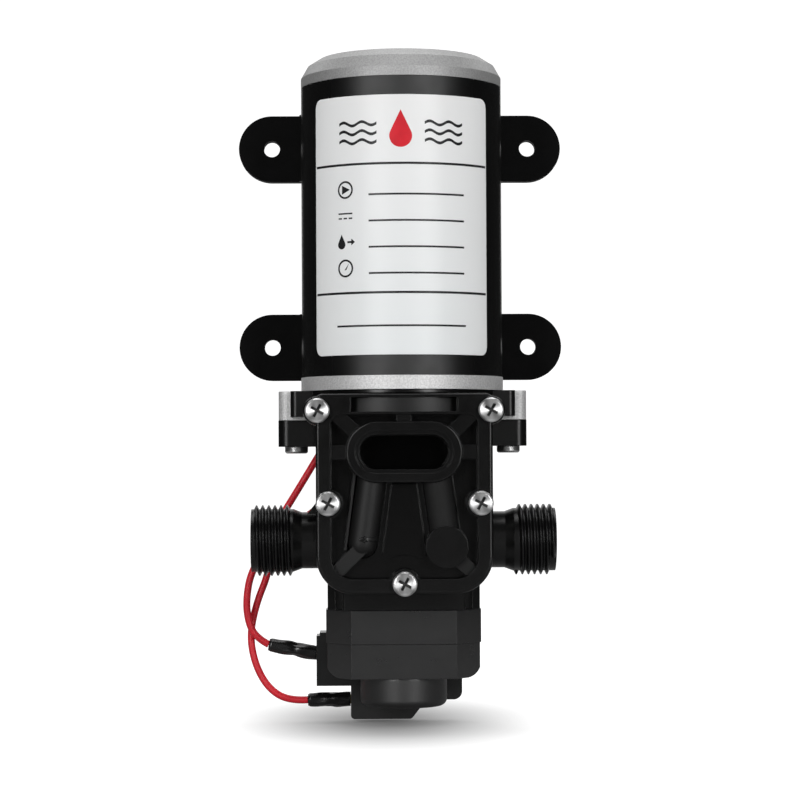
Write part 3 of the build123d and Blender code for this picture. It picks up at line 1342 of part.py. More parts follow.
def yoke():
    """The yoke: a ring round the eccentric's bearing, a cross bar and a stem behind each piston."""
    inner = DRIVE_BEARING_RADIUS + ECCENTRIC_THROW + PISTON_STROKE / 2 + YOKE_MARGIN
    outer = inner + YOKE_WALL
    low = DRIVE_Z - YOKE_HEIGHT / 2
    high = DRIVE_Z + YOKE_HEIGHT / 2
    bar_front = AXIS_Y - outer
    body = rod_z(0, AXIS_Y, outer, low, high)
    reach = CHAMBER_X + PISTON_STEM_RADIUS + YOKE_END_MARGIN
    body += block((-reach, reach), (bar_front, bar_front + YOKE_BAR_DEPTH), (low, high))
    body -= rod_z(0, AXIS_Y, inner, low - OVER, high + OVER)
    hole = PISTON_SCREW_RADIUS + STATIC_GAP
    for side in (-1, 1):
        x = side * CHAMBER_X
        body += rod_y(x, DRIVE_Z, PISTON_STEM_RADIUS, bar_front + OVER, piston_back())
        body -= rod_y(x, DRIVE_Z, hole, bar_front + YOKE_SCREW_DEPTH, piston_back() - OVER)
    return body


def piston_back():
    """The pistons' back face, on the yoke's stems."""
    return PLATE_BACK + PISTON_LENGTH - PISTON_PROUD


def pistons():
    back = piston_back() - STACK_GAP
    front = back - PISTON_LENGTH
    sink = front + PISTON_SCREW_HEAD_HEIGHT
    pair = []
    for side in (-1, 1):
        x = side * CHAMBER_X
        piston = rod_y(x, DRIVE_Z, PISTON_RADIUS, back, front)
        piston = fillet(piston.edges().group_by(Axis.Y)[0], PISTON_EDGE)
        piston -= rod_y(x, DRIVE_Z, PISTON_SCREW_RADIUS + STATIC_GAP, back + OVER, front - OVER)
        piston -= rod_y(x, DRIVE_Z, PISTON_SCREW_HEAD_RADIUS + PISTON_HEAD_GAP, sink, front - OVER)
        pair.append(piston)
    return Compound(children=pair)


def piston_screws():
    front = piston_back() - STACK_GAP - PISTON_LENGTH
    seat = front + PISTON_SCREW_HEAD_HEIGHT - STACK_GAP
    top = front + STATIC_GAP
    reach = PISTON_SCREW_HEAD_RADIUS + OVER
    half = PISTON_SLOT_WIDTH / 2
    screws = []
    for side in (-1, 1):
        x = side * CHAMBER_X
        head = rod_y(x, DRIVE_Z, PISTON_SCREW_HEAD_RADIUS, seat, top)
        shank = rod_y(x, DRIVE_Z, PISTON_SCREW_RADIUS, seat + PISTON_SCREW_LENGTH, seat)
        y_span = (top - OVER, top + PISTON_SLOT_DEPTH)
        slot = block((x - reach, x + reach), y_span, (DRIVE_Z - half, DRIVE_Z + half))
        screws.append(head + shank - slot)
    return Compound(children=screws)


# Pressure switch


def switch_centre_y():
    return (SWITCH_FRONT + SWITCH_BACK) / 2


def octagon(inset):
    """The switch body's eight-sided outline in X and Y."""
    half_depth = (SWITCH_BACK - SWITCH_FRONT) / 2
    wide = SWITCH_HALF_WIDTH - inset
    flat = SWITCH_FLAT_HALF_WIDTH
    deep = half_depth - inset
    side = half_depth - SWITCH_CORNER_DEPTH
    quarter = [(flat, deep), (wide, side)]
    right = [(x, -y) for x, y in quarter] + quarter[::-1]
    left = [(-x, -y) for x, y in right]
    return Pos(0, switch_centre_y()) * make_face(Polyline(*right, *left, close=True))


def switch_screw_places():
    """The four switch screws, in X and Y."""
    middle = switch_centre_y()
    return [(sx * SWITCH_SCREW_X, middle + sy * SWITCH_SCREW_SPREAD) for sx in (-1, 1) for sy in (-1, 1)]


def switch_upper_body():
    """The upper half: the outlet's pressure hole and the pressure chamber."""
    low = SWITCH_SEAM_Z - OVER
    high = HOUSING_BOTTOM + OVER
    body = level_slab(octagon(0), SWITCH_SEAM_Z, HOUSING_BOTTOM - STACK_GAP)
    chamber_top = SWITCH_SEAM_Z + SWITCH_CHAMBER_DEPTH
    body -= rod_z(0, switch_centre_y(), SWITCH_CHAMBER_RADIUS, low, chamber_top)
    body -= rod_z(SENSE_X, SENSE_Y, PRESSURE_HOLE_RADIUS, SWITCH_SEAM_Z, high)
    for x, y in switch_screw_places():
        body -= rod_z(x, y, SWITCH_SCREW_RADIUS + SCREW_GAP, low, high)
    return body


def arm_bottom():
    """The underside of the plunger's arm, just over the button."""
    return MICRO_SHELF_Z + BUTTON_PROUD + ARM_GAP


def micro_middle():
    """The middle of the microswitch in Y."""
    return MICRO_FRONT + MICRO_THICKNESS / 2


def switch_lower_top():
    """The top of the switch's lower half, just under the seam."""
    return SWITCH_SEAM_Z - STATIC_GAP


def switch_lower_block():
    """The lower half before its holes: the octagon with its lower corners rounded, seen from the front."""
    top = switch_lower_top()
    height = top - SWITCH_BOTTOM + SWITCH_LOWER_RADIUS
    front_view = Pos(0, SWITCH_BOTTOM + height / 2) * Rectangle(2 * SWITCH_HALF_WIDTH, height)
    front_view = fillet(front_view.vertices().group_by(Axis.Y)[0], SWITCH_LOWER_RADIUS)
    solid = level_slab(octagon(SWITCH_LOWER_INSET), SWITCH_BOTTOM, top)
    return solid & face_slab(front_view, SWITCH_BACK + OVER, SWITCH_FRONT - OVER)


def switch_lower_body():
    """The lower half: a seat for the diaphragm, the plunger's room, the arm's slot and sunk screw heads."""
    middle = switch_centre_y()
    low = SWITCH_BOTTOM - OVER
    high = switch_lower_top() + OVER
    seat = plunger_top()
    body = switch_lower_block()
    body -= rod_z(0, middle, SWITCH_DIAPHRAGM_RADIUS + STATIC_GAP, seat, high)
    body -= rod_z(0, middle, PLUNGER_RADIUS + PLUNGER_ROOM_GAP, low, high)
    slot_low = arm_bottom() - SWITCH_TRAVEL - SOFT_GAP
    half = PLUNGER_ARM_WIDTH / 2 + SOFT_GAP
    body -= block((BUTTON_X - half, BUTTON_X + half), (middle, SWITCH_BACK + OVER), (slot_low, seat))
    for x, y in switch_screw_places():
        body -= rod_z(x, y, SWITCH_SCREW_RADIUS + SCREW_GAP, low, high)
        body -= rod_z(x, y, SWITCH_SCREW_HEAD_RADIUS + SCREW_GAP, low, switch_screw_seat())
    for z in micro_screw_heights():
        hole = MICRO_SCREW_RADIUS + STATIC_GAP
        body -= rod_y(MICRO_SCREW_X, z, hole, SWITCH_BACK + OVER, micro_screw_tip() - TIP_GAP)
    return body


def switch_screw_seat():
    return SWITCH_BOTTOM + SWITCH_SCREW_HEAD_HEIGHT + SWITCH_SCREW_SUNK


def switch_screws():
    """The four long screws from below, through both halves into the housing."""
    seat = switch_screw_seat()
    length = HOUSING_BOTTOM + SWITCH_SCREW_GRIP - seat
    screw = pan_screw(SWITCH_SCREW_RADIUS, length, SWITCH_SCREW_HEAD_RADIUS, SWITCH_SCREW_HEAD_HEIGHT)
    turned = Rot(180, 0, 0) * screw
    return Compound(children=[Pos(x, y, seat - STACK_GAP) * turned for x, y in switch_screw_places()])


def switch_diaphragm():
    top = switch_lower_top() - STACK_GAP
    return rod_z(0, switch_centre_y(), SWITCH_DIAPHRAGM_RADIUS, top - SWITCH_DIAPHRAGM_THICKNESS, top)


def plunger_top():
    """The top of the plunger, and of its seat's ledge, just under the diaphragm."""
    return switch_lower_top() - STACK_GAP - SWITCH_DIAPHRAGM_THICKNESS - STATIC_GAP


def switch_plunger():
    """The plunger: a flange under the diaphragm, a stem in the spring and an arm over the button."""
    middle = switch_centre_y()
    top = plunger_top()
    flange_bottom = top - PLUNGER_FLANGE
    body = rod_z(0, middle, PLUNGER_RADIUS, flange_bottom, top)
    body += rod_z(0, middle, PLUNGER_STEM_RADIUS, flange_bottom - PLUNGER_STEM_LENGTH, flange_bottom)
    arm_start = middle + SWITCH_SPRING_RADIUS + SWITCH_SPRING_WIRE + SOFT_GAP
    half = PLUNGER_ARM_WIDTH / 2
    arm_end = micro_middle() + BUTTON_RADIUS
    arm_top = flange_bottom + PLUNGER_ARM_SINK
    return body + block((BUTTON_X - half, BUTTON_X + half), (arm_start, arm_end), (arm_bottom(), arm_top))


def spring_seat_z():
    return SWITCH_CAP_BOTTOM + ADJUSTER_LENGTH + ADJUSTER_RISE


def switch_spring():
    top = plunger_top() - PLUNGER_FLANGE - STATIC_GAP
    low = spring_seat_z() + STATIC_GAP
    spring = spring_z(SWITCH_SPRING_RADIUS, SWITCH_SPRING_WIRE, SWITCH_SPRING_TURNS, low, top)
    return Pos(0, switch_centre_y(), 0) * spring


def switch_cap():
    """The round cap under the switch, with the adjuster's threaded hole."""
    middle = switch_centre_y()
    top = SWITCH_BOTTOM - STATIC_GAP
    cap = rod_z(0, middle, SWITCH_CAP_RADIUS, SWITCH_CAP_BOTTOM, top)
    cap = fillet(cap.edges().sort_by(Axis.Z)[0], SWITCH_CAP_EDGE)
    inside = SWITCH_CAP_BOTTOM + SWITCH_CAP_WALL
    cap -= rod_z(0, middle, SWITCH_CAP_RADIUS - SWITCH_CAP_WALL, inside, top + OVER)
    hole = ADJUSTER_RADIUS + STATIC_GAP
    return cap - rod_z(0, middle, hole, SWITCH_CAP_BOTTOM - OVER, inside + OVER)


def adjusting_screw():
    """The adjusting screw with its spring seat and a hexagon socket."""
    middle = switch_centre_y()
    seat = spring_seat_z()
    body = rod_z(0, middle, ADJUSTER_RADIUS, SWITCH_CAP_BOTTOM + ADJUSTER_SUNK, seat)
    flange = SWITCH_SPRING_RADIUS + ADJUSTER_FLANGE
    body += rod_z(0, middle, flange, seat - ADJUSTER_FLANGE_THICKNESS, seat)
    socket = Pos(0, middle) * RegularPolygon(ADJUSTER_SOCKET_RADIUS, 6)
    return body - level_slab(socket, SWITCH_CAP_BOTTOM, SWITCH_CAP_BOTTOM + ADJUSTER_SOCKET_DEPTH)


# Microswitch


def micro_outline():
    """The microswitch's stepped outline in X and Z, its lowest corners rounded."""
    points = [
        (MICRO_LEFT, MICRO_TOP - MICRO_NOTCH),
        (MICRO_LEFT + MICRO_NOTCH, MICRO_TOP - MICRO_NOTCH),
        (MICRO_LEFT + MICRO_NOTCH, MICRO_TOP),
        (MICRO_STEP_X, MICRO_TOP),
        (MICRO_STEP_X, MICRO_SHELF_Z),
        (MICRO_RIGHT, MICRO_SHELF_Z),
        (MICRO_RIGHT, MICRO_RIGHT_BOTTOM),
        (MICRO_FOOT_RIGHT + MICRO_FOOT_SLOPE, MICRO_RIGHT_BOTTOM),
        (MICRO_FOOT_RIGHT, MICRO_BOTTOM),
        (MICRO_FOOT_LEFT, MICRO_BOTTOM),
        (MICRO_FOOT_LEFT, MICRO_LEFT_BOTTOM),
        (MICRO_LEFT, MICRO_LEFT_BOTTOM),
    ]
    face = make_face(Polyline(*points, close=True))
    face = fillet(face.vertices().group_by(Axis.Y)[0], MICRO_FOOT_CORNER)
    return fillet(face.vertices().group_by(Axis.X)[-1].sort_by(Axis.Y)[0], MICRO_CORNER)


def micro_screw_heights():
    """The heights of the two screws that hold the microswitch to the switch's lower half."""
    upper = SWITCH_SEAM_Z - MICRO_SCREW_DROP
    return [upper, upper - MICRO_SCREW_PITCH]


def micro_screw_tip():
    return SWITCH_BACK - MICRO_SCREW_GRIP


def terminal_frame(root_z, end):
    """A frame at a terminal's root whose Z runs along the terminal to its crimp sleeve's end."""
    root_x = MICRO_LEFT if root_z > MICRO_LEFT_BOTTOM else MICRO_FOOT_LEFT
    root = Vector(root_x, micro_middle(), root_z)
    return Plane(origin=root, x_dir=(0, 1, 0), z_dir=Vector(*end) - root)


def terminal_ends():
    """Each terminal's root height and its crimp sleeve's outer end."""
    return [(UPPER_TERMINAL_Z, UPPER_CRIMP_END), (LOWER_TERMINAL_Z, LOWER_CRIMP_END)]


def terminal_tab(root_z, end, gap):
    """A terminal blade, from inside the case to inside its sleeve."""
    length = TERMINAL_LENGTH + TERMINAL_ROOT
    blade = Box(TERMINAL_THICKNESS + 2 * gap, TERMINAL_WIDTH + 2 * gap, length)
    return terminal_frame(root_z, end) * Pos(0, 0, length / 2 - TERMINAL_ROOT) * blade


def microswitch_case():
    back = MICRO_FRONT + MICRO_THICKNESS
    case = face_slab(micro_outline(), back, MICRO_FRONT)
    hole = BUTTON_RADIUS + RUNNING_GAP
    case -= rod_z(BUTTON_X, micro_middle(), hole, button_hole_bottom(), MICRO_SHELF_Z + OVER)
    for root_z, end in terminal_ends():
        case -= terminal_tab(root_z, end, TERMINAL_SLOT_GAP)
    for z in micro_screw_heights():
        case -= rod_y(MICRO_SCREW_X, z, MICRO_SCREW_RADIUS + SCREW_GAP, back + OVER, MICRO_FRONT - OVER)
    return case


def button_hole_bottom():
    return MICRO_SHELF_Z - BUTTON_LENGTH - BUTTON_SPRING_LENGTH


def switch_button():
    top = MICRO_SHELF_Z + BUTTON_PROUD
    button = rod_z(BUTTON_X, micro_middle(), BUTTON_RADIUS, MICRO_SHELF_Z - BUTTON_LENGTH, top)
    return fillet(button.edges().sort_by(Axis.Z)[-1], BUTTON_EDGE)


def button_spring():
    low = button_hole_bottom() + STACK_GAP
    high = MICRO_SHELF_Z - BUTTON_LENGTH - STACK_GAP
    radius = BUTTON_RADIUS - BUTTON_SPRING_GAP
    spring = spring_z(radius, BUTTON_SPRING_WIRE, BUTTON_SPRING_TURNS, low, high)
    return Pos(BUTTON_X, micro_middle(), 0) * spring


def switch_terminals():
    return Compound(children=[terminal_tab(root_z, end, 0) for root_z, end in terminal_ends()])


def micro_screws():
    seat = MICRO_FRONT + MICRO_THICKNESS + STACK_GAP
    length = seat - micro_screw_tip()
    screw = pan_screw(MICRO_SCREW_RADIUS, length, MICRO_SCREW_HEAD_RADIUS, MICRO_SCREW_HEAD_HEIGHT)
    turned = Rot(-90, 0, 0) * screw
    return Compound(children=[Pos(MICRO_SCREW_X, seat, z) * turned for z in micro_screw_heights()])


def crimp_sleeve(root_z, end):
    """A heat-shrunk sleeve over a terminal's blade, closed on the wire's end."""
    frame = terminal_frame(root_z, end)
    length = (Vector(*end) - frame.origin).length
    start = CRIMP_GAP + CRIMP_RADIUS * abs(frame.z_dir.Z)
    profile = Polyline(
        (0, start),
        (CRIMP_RADIUS - CRIMP_START_WAIST, start),
        (CRIMP_RADIUS, start + CRIMP_SHOULDER),
        (CRIMP_RADIUS, length * CRIMP_TAPER_START),
        (CRIMP_RADIUS - CRIMP_END_WAIST, length - CRIMP_END_LENGTH),
        (CRIMP_RADIUS - CRIMP_END_WAIST - CRIMP_END_ROUND, length),
        (0, length),
        close=True,
    )
    sleeve = frame * revolve(Plane.XZ * make_face(profile), Axis.Z)
    return sleeve - terminal_tab(root_z, end, STATIC_GAP)


# Wires


def bend_radii(points):
    """One arc radius for each corner, as large as its two runs allow."""
    radii = []
    for before, corner, after in zip(points, points[1:], points[2:]):
        first = Vector(*corner) - Vector(*before)
        second = Vector(*after) - Vector(*corner)
        half_turn = math.radians(first.get_angle(second)) / 2
        radii.append(BEND_SHARE * min(first.length, second.length) / math.tan(half_turn))
    return radii


def wire(points, name):
    """A round wire along straight runs joined by tangent arcs."""
    radii = bend_radii(points)
    path = FilletPolyline(*points, radius=radii)
    section = Plane(origin=path @ 0, z_dir=path % 0) * Circle(WIRE_RADIUS)
    tube = sweep(section, path=path)
    expected = math.pi * WIRE_RADIUS**2 * path.length
    print(name, "length", round(path.length, 1), "radii", [round(radius, 1) for radius in radii])
    print(name, "volume", round(tube.volume, 1), "section times length", round(expected, 1))
    return tube


# Writing the parts


def build():
    os.makedirs("parts", exist_ok=True)
    front_outer, front_inner, front_balls = motor_bearing()
    drive_outer, drive_inner, drive_balls = drive_bearing()
    pieces = {
        "motor_can": motor_can(),
        "motor_sleeve": motor_sleeve(),
        "rating_label": rating_label(),
        "rear_cap": rear_cap(),
        "front_bell": front_bell(),
        "wire_grommet": wire_grommet(),
        "field_magnets": field_magnets(),
        "rear_bush": rear_bush(),
        "armature_shaft": armature_shaft(),
        "armature_core": armature_core(),
        "armature_windings": armature_windings(),
        "commutator": commutator(),
        "brush_card": brush_card(),
        "carbon_brushes": carbon_brushes(),
        "brush_springs": brush_springs(),
        "front_bearing_outer_race": front_outer,
        "front_bearing_inner_race": front_inner,
        "front_bearing_balls": front_balls,
        "pump_housing": pump_housing(),
        "diaphragm": diaphragm(),
        "valve_plate": valve_plate(),
        "inlet_valves": inlet_valves(),
        "outlet_valves": outlet_valves(),
        "head_gasket": head_gasket(),
        "pump_cover": pump_cover(),
        "cover_screws": cover_screws(),
        "lug_screws": lug_screws(),
        "eccentric": eccentric(),
        "eccentric_set_screw": set_screw(),
        "drive_bearing_outer_race": drive_outer,
        "drive_bearing_inner_race": drive_inner,
        "drive_bearing_balls": drive_balls,
        "yoke": yoke(),
        "pistons": pistons(),
        "piston_screws": piston_screws(),
        "switch_upper_body": switch_upper_body(),
        "switch_lower_body": switch_lower_body(),
        "switch_screws": switch_screws(),
        "switch_diaphragm": switch_diaphragm(),
        "switch_plunger": switch_plunger(),
        "switch_spring": switch_spring(),
        "switch_cap": switch_cap(),
        "adjusting_screw": adjusting_screw(),
        "microswitch_case": microswitch_case(),
        "switch_button": switch_button(),
        "button_spring": button_spring(),
        "switch_terminals": switch_terminals(),
        "microswitch_screws": micro_screws(),
        "upper_crimp_sleeve": crimp_sleeve(UPPER_TERMINAL_Z, UPPER_CRIMP_END),
        "lower_crimp_sleeve": crimp_sleeve(LOWER_TERMINAL_Z, LOWER_CRIMP_END),
        "upper_wire": wire(UPPER_WIRE_ROUTE, "upper wire"),
        "lower_wire": wire(LOWER_WIRE_ROUTE, "lower wire"),
    }
    for node, shape in pieces.items():
        save(shape, node)


build()
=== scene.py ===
import json
import math
from collections import namedtuple

import bmesh
import bpy
from mathutils import Matrix, Vector


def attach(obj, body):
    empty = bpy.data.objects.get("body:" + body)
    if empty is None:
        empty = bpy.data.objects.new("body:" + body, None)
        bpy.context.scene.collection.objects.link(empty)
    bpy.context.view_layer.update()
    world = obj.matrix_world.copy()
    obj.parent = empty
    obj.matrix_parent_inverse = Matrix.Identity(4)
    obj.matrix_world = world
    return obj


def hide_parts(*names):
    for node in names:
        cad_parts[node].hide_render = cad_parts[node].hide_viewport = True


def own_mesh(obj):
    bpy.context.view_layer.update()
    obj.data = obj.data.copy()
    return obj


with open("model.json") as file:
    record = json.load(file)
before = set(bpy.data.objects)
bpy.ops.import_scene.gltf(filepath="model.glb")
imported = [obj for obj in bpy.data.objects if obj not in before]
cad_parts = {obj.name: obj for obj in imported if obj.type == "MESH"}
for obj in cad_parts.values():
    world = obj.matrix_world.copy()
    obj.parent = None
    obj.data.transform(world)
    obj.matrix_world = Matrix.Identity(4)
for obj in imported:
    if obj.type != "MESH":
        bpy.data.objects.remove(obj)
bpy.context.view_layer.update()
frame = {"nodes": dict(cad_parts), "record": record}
MM = 0.001

# The motor's upright axis
AXIS_Y = -31.0 * MM

# Camera: the photograph's distance, height and framing. Lens in millimetres, turns in degrees
CAMERA_PLACE = (-13.1 * MM, -792.0 * MM, -65.2 * MM)
CAMERA_LENS = 114.3
CAMERA_SENSOR = 36.0
CAMERA_PITCH = 1.306
CAMERA_YAW = -0.936
CAMERA_ROLL = -0.278
CAMERA_NEAR = 0.05
CAMERA_FAR = 20.0

# Wires: the same points as the modelled routes, in millimetres, from the crimp to the motor
WIRE_RADIUS = 1.1 * MM
UPPER_WIRE_ROUTE = [
    (-40.8, -14.0, -122.0),
    (-44.3, -14.0, -120.1),
    (-46.9, -14.1, -115.9),
    (-47.8, -14.3, -108.6),
    (-46.0, -14.5, -98.9),
    (-38.6, -13.9, -88.8),
    (-25.0, -12.6, -80.5),
    (-14.5, -12.4, -69.5),
    (-8.65, -11.5, -57.5),
    (-8.65, -11.5, -43.5),
]
LOWER_WIRE_ROUTE = [
    (-28.9, -14.0, -138.9),
    (-34.5, -13.8, -139.2),
    (-40.6, -13.2, -135.9),
    (-44.9, -12.2, -128.9),
    (-46.8, -11.0, -119.7),
    (-44.8, -10.0, -109.7),
    (-40.8, -9.2, -100.0),
    (-39.2, -8.9, -86.6),
    (-30.6, -9.0, -72.8),
    (-22.0, -9.8, -58.6),
    (-12.45, -11.5, -51.2),
    (-12.45, -11.5, -43.5),
]
WIRE_ROUND_STEPS = 6
WIRE_RUN_STEPS = 16
WIRE_CURVE_ORDER = 3

# Motor sleeve, and how far a face may lie off its cylinder and still count as round
SLEEVE_RADIUS = 30.0 * MM
SLEEVE_FACE_GAP = 0.4 * MM

# Label: a film on the sleeve, whose soft edge is kept to a narrow strip
LABEL_RADIUS = 30.06 * MM
LABEL_THICKNESS = 0.16 * MM
LABEL_HALF_ARC = 29.2 * MM
LABEL_TOP = 39.8 * MM
LABEL_BOTTOM = -35.4 * MM
LABEL_CORNER = 2.6 * MM
LABEL_SHIFT = -0.6 * MM
LABEL_EDGE = 0.2 * MM
LABEL_COLUMNS = 240

# Print: how far it stands off the film, and how narrow its strips are cut, in millimetres
PRINT_LIFT = 0.012 * MM
PRINT_STRIP = 1.0

# Print: rules across the whole label
UPPER_RULE_Z = 19.9 * MM
LOWER_RULE_Z = -17.4 * MM
RULE_THICKNESS = 0.68 * MM
RULE_MARGIN = 0.5 * MM

# Print: the drop and the waves at its sides
HEADER_Z = 29.0 * MM
DROP_FALL = 1.2 * MM
DROP_RADIUS = 3.3 * MM
DROP_HEIGHT = 7.6 * MM
WAVE_SIDE = 13.0 * MM
WAVE_SPACING = 2.6 * MM
WAVE_LENGTH = 12 * MM
WAVE_RISE = 0.55 * MM
WAVE_THICKNESS = 0.85 * MM

# Print: blank lines
LINE_X = 5.0 * MM
LINE_FALL = 1.6 * MM
LINE_HALF_LENGTH = 14.5 * MM
LINE_HALF_THICKNESS = 0.28 * MM
LOWEST_LINE_Z = -27.0 * MM
LOWEST_LINE_HALF_LENGTH = 20 * MM

# Print: symbols beside the blank lines. The outlines are offsets from a centre, in millimetres
SYMBOL_X = -17.0 * MM
SYMBOL_ROWS = [12.6 * MM, 5.0 * MM, -2.6 * MM, -10.2 * MM]
SYMBOL_RADIUS = 2.6 * MM
SYMBOL_INNER_RADIUS = 2.05 * MM
PUMP_ARROW = [(-1.1, -1.3), (1.6, 0.0), (-1.1, 1.3)]
FLOW_ARROW = [(0.7, -0.3), (2.0, -0.3), (2.0, -1.0), (3.2, 0.0), (2.0, 1.0), (2.0, 0.3), (0.7, 0.3)]
FLOW_DROP_X = SYMBOL_X - 1.3 * MM
FLOW_DROP_FALL = 0.7 * MM
FLOW_DROP_RADIUS = 1.3 * MM
FLOW_DROP_HEIGHT = 3.0 * MM
GAUGE_NEEDLE = [(-0.3, -0.5), (0.3, -0.5), (1.2, 1.5)]
DIRECT_BAR_GAP = 0.7 * MM
DIRECT_BAR_HALF_THICKNESS = 0.22 * MM
DIRECT_BAR_HALF_LENGTH = 2.4 * MM
DIRECT_DASH_HALF_LENGTH = 0.6 * MM
DIRECT_DASH_SPACING = 1.75 * MM

# Cover screws: centres of the heads, the reach round each, and the cross recess in the head,
# darkened with painted shade
COVER_SCREW_CENTRES = [
    (-25.0 * MM, -64.0 * MM, -51.5 * MM),
    (25.0 * MM, -64.0 * MM, -51.5 * MM),
    (-22.0 * MM, -64.0 * MM, -78.3 * MM),
    (22.0 * MM, -64.0 * MM, -78.3 * MM),
    (0.0, -64.0 * MM, -101.4 * MM),
]
SCREW_REACH = 6.0 * MM
CROSS_MIDDLE = 1.2 * MM
CROSS_HALF_SPAN = 1.1 * MM
CROSS_FRONT_Y = -64.2 * MM

# Pump head: boxes with a finish of their own, in millimetres. A grey is painted shade, darkening
# the recess floor and the pocket; without a grey the colour stays
Zone = namedtuple("Zone", "centre half roughness grey")
HEAD_RECESS_PAINTED_SHADE = Zone((0.0, -57.4, -76.0), (24.0, 1.2, 29.0), 0.2, 0.0025)
HEAD_CHANNELS = Zone((0.0, -59.9, -84.5), (20.0, 1.3, 14.5), 0.52, None)
HEAD_RIGHT_CHANNEL = Zone((10.0, -59.9, -84.5), (10.0, 1.3, 14.5), 0.7, None)
HEAD_WINDOW = Zone((0.0, -59.0, -50.1), (15.2, 2.9, 2.2), 0.42, None)
HEAD_POCKET_PAINTED_SHADE = Zone((0.0, -56.4, -63.5), (13.2, 4.6, 5.2), 0.12, 0.0006)
HEAD_ZONES = [HEAD_RECESS_PAINTED_SHADE, HEAD_CHANNELS, HEAD_RIGHT_CHANNEL, HEAD_WINDOW, HEAD_POCKET_PAINTED_SHADE]

# Where a finish starts to change along an axis, and where it has changed
PORT_SPAN_X = (26.2 * MM, 27.0 * MM)
# Painted light: the label's sides are painted paler over this span.
LABEL_PAINTED_LIGHT_SPAN_X = (12.0 * MM, 28.0 * MM)
SLEEVE_SIDE_SPAN_X = (9.0 * MM, 21.0 * MM)
# Painted shade: the rear cap's wall and crown are darkened over these spans.
REAR_CAP_PAINTED_SHADE_SPAN_Z = (42.8 * MM, 43.0 * MM)
REAR_CAP_TOP_PAINTED_SHADE_SPAN_Z = (51.9 * MM, 52.4 * MM)
SWITCH_CAP_SPAN_Z = (-130.4 * MM, -130.9 * MM)
CASE_LOW_END_SPAN_Z = (-134.0 * MM, -141.0 * MM)

# Crimp sleeves: lengths along the sleeve and depths of its folds are shares. A fold's or a
# crease's waves are counted round the sleeve, and their turn is from its root to its tip
CRIMP_RADIUS = 2.3 * MM
CRIMP_RINGS = 60
CRIMP_SIDES = 48
CRIMP_ROOT_SPAN = 0.12
CRIMP_ROOT_SHARE = 0.95
CRIMP_TIP_SPAN = 0.05
CRIMP_TIP_SHARE = 0.86
CRIMP_FLAT_SPAN = 0.15
CRIMP_TAPER = 0.12
CRIMP_TWIST = 1.6
FOLD_DEPTH = 0.075
FOLD_WAVES = 3
FOLD_TURN = 5
CREASE_DEPTH = 0.045
CREASE_WAVES = 7
CREASE_TURN = -14
WAIST_DEPTH = 0.07
WAIST_PLACE = 0.45
WAIST_SPAN = 0.07
MICRO_MIDDLE_Y = -13.95 * MM
UPPER_BLADE_ROOT = (-26.3 * MM, MICRO_MIDDLE_Y, -124.6 * MM)
LOWER_BLADE_ROOT = (-15.9 * MM, MICRO_MIDDLE_Y, -138.7 * MM)

# Stage: a floor and a backdrop, with a painted shadow under the object, where the glow is lower,
# over the real shadow on the floor
FLOOR_Z = -145.6 * MM
FLOOR_GREY = 0.3
FLOOR_ROUGHNESS = 0.9
FLOOR_GLOSS = 0.12
GLOSS_RISE_Y = (0.1, 0.8)
SHADE_CENTRE = (-5.5 * MM, -10.0 * MM, FLOOR_Z)
SHADE_HALF_WIDTH = 64 * MM
SHADE_HALF_DEPTH = 114 * MM
SHADE_GLOW = 0.1
STAGE_HALF_WIDTH = 0.45
STAGE_FRONT = -1.0
STAGE_BACK = 1.6
STAGE_BEND = 0.6
STAGE_BEND_STEPS = 16
BACKDROP_HEIGHT = 3.0

# World: the white part behind, by the direction's y, and the low fill elsewhere
WHITE_RISE_Y = (0.93, 0.995)
WORLD_FILL = 0.02
DIFFUSE_FILL = 0.07

# Lamps: place, width and height in metres, and watts
Lamp = namedtuple("Lamp", "name place size power")
LAMP_TARGET = (0.0, AXIS_Y, -45 * MM)
LAMPS = [
    Lamp("left_box", (-0.5, -0.95, -0.02), (0.25, 1.1), 8.4),
    Lamp("right_box", (0.5, -0.95, -0.02), (0.25, 1.1), 8.4),
    Lamp("top_box", (0.0, 0.05, 0.85), (0.7, 0.7), 4.6),
    Lamp("back_left", (-0.6, 0.6, 0.7), (0.4, 0.4), 2.0),
    Lamp("back_right", (0.6, 0.6, 0.7), (0.4, 0.4), 2.0),
]

# Materials: the spans of noise that the drifts of colour and gloss use, and their scales
COLOUR_NOISE_SPAN = (0.35, 0.65)
GLOSS_NOISE_SPAN = (0.3, 0.7)
PLASTIC_DRIFT = 0.1
PLASTIC_COLOUR_SCALE = 160.0
PLASTIC_GLOSS_SCALE = 220.0
METAL_DRIFT = 0.14
METAL_COLOUR_SCALE = 2200.0
METAL_GLOSS_SCALE = 900.0
COLOUR_DETAIL = 4.0
GLOSS_DETAIL = 5.0
GRAIN_DETAIL = 4.0
GRAIN_STRENGTH = 0.6
EDGE_RADIUS = 0.25 * MM
EDGE_SAMPLES = 4

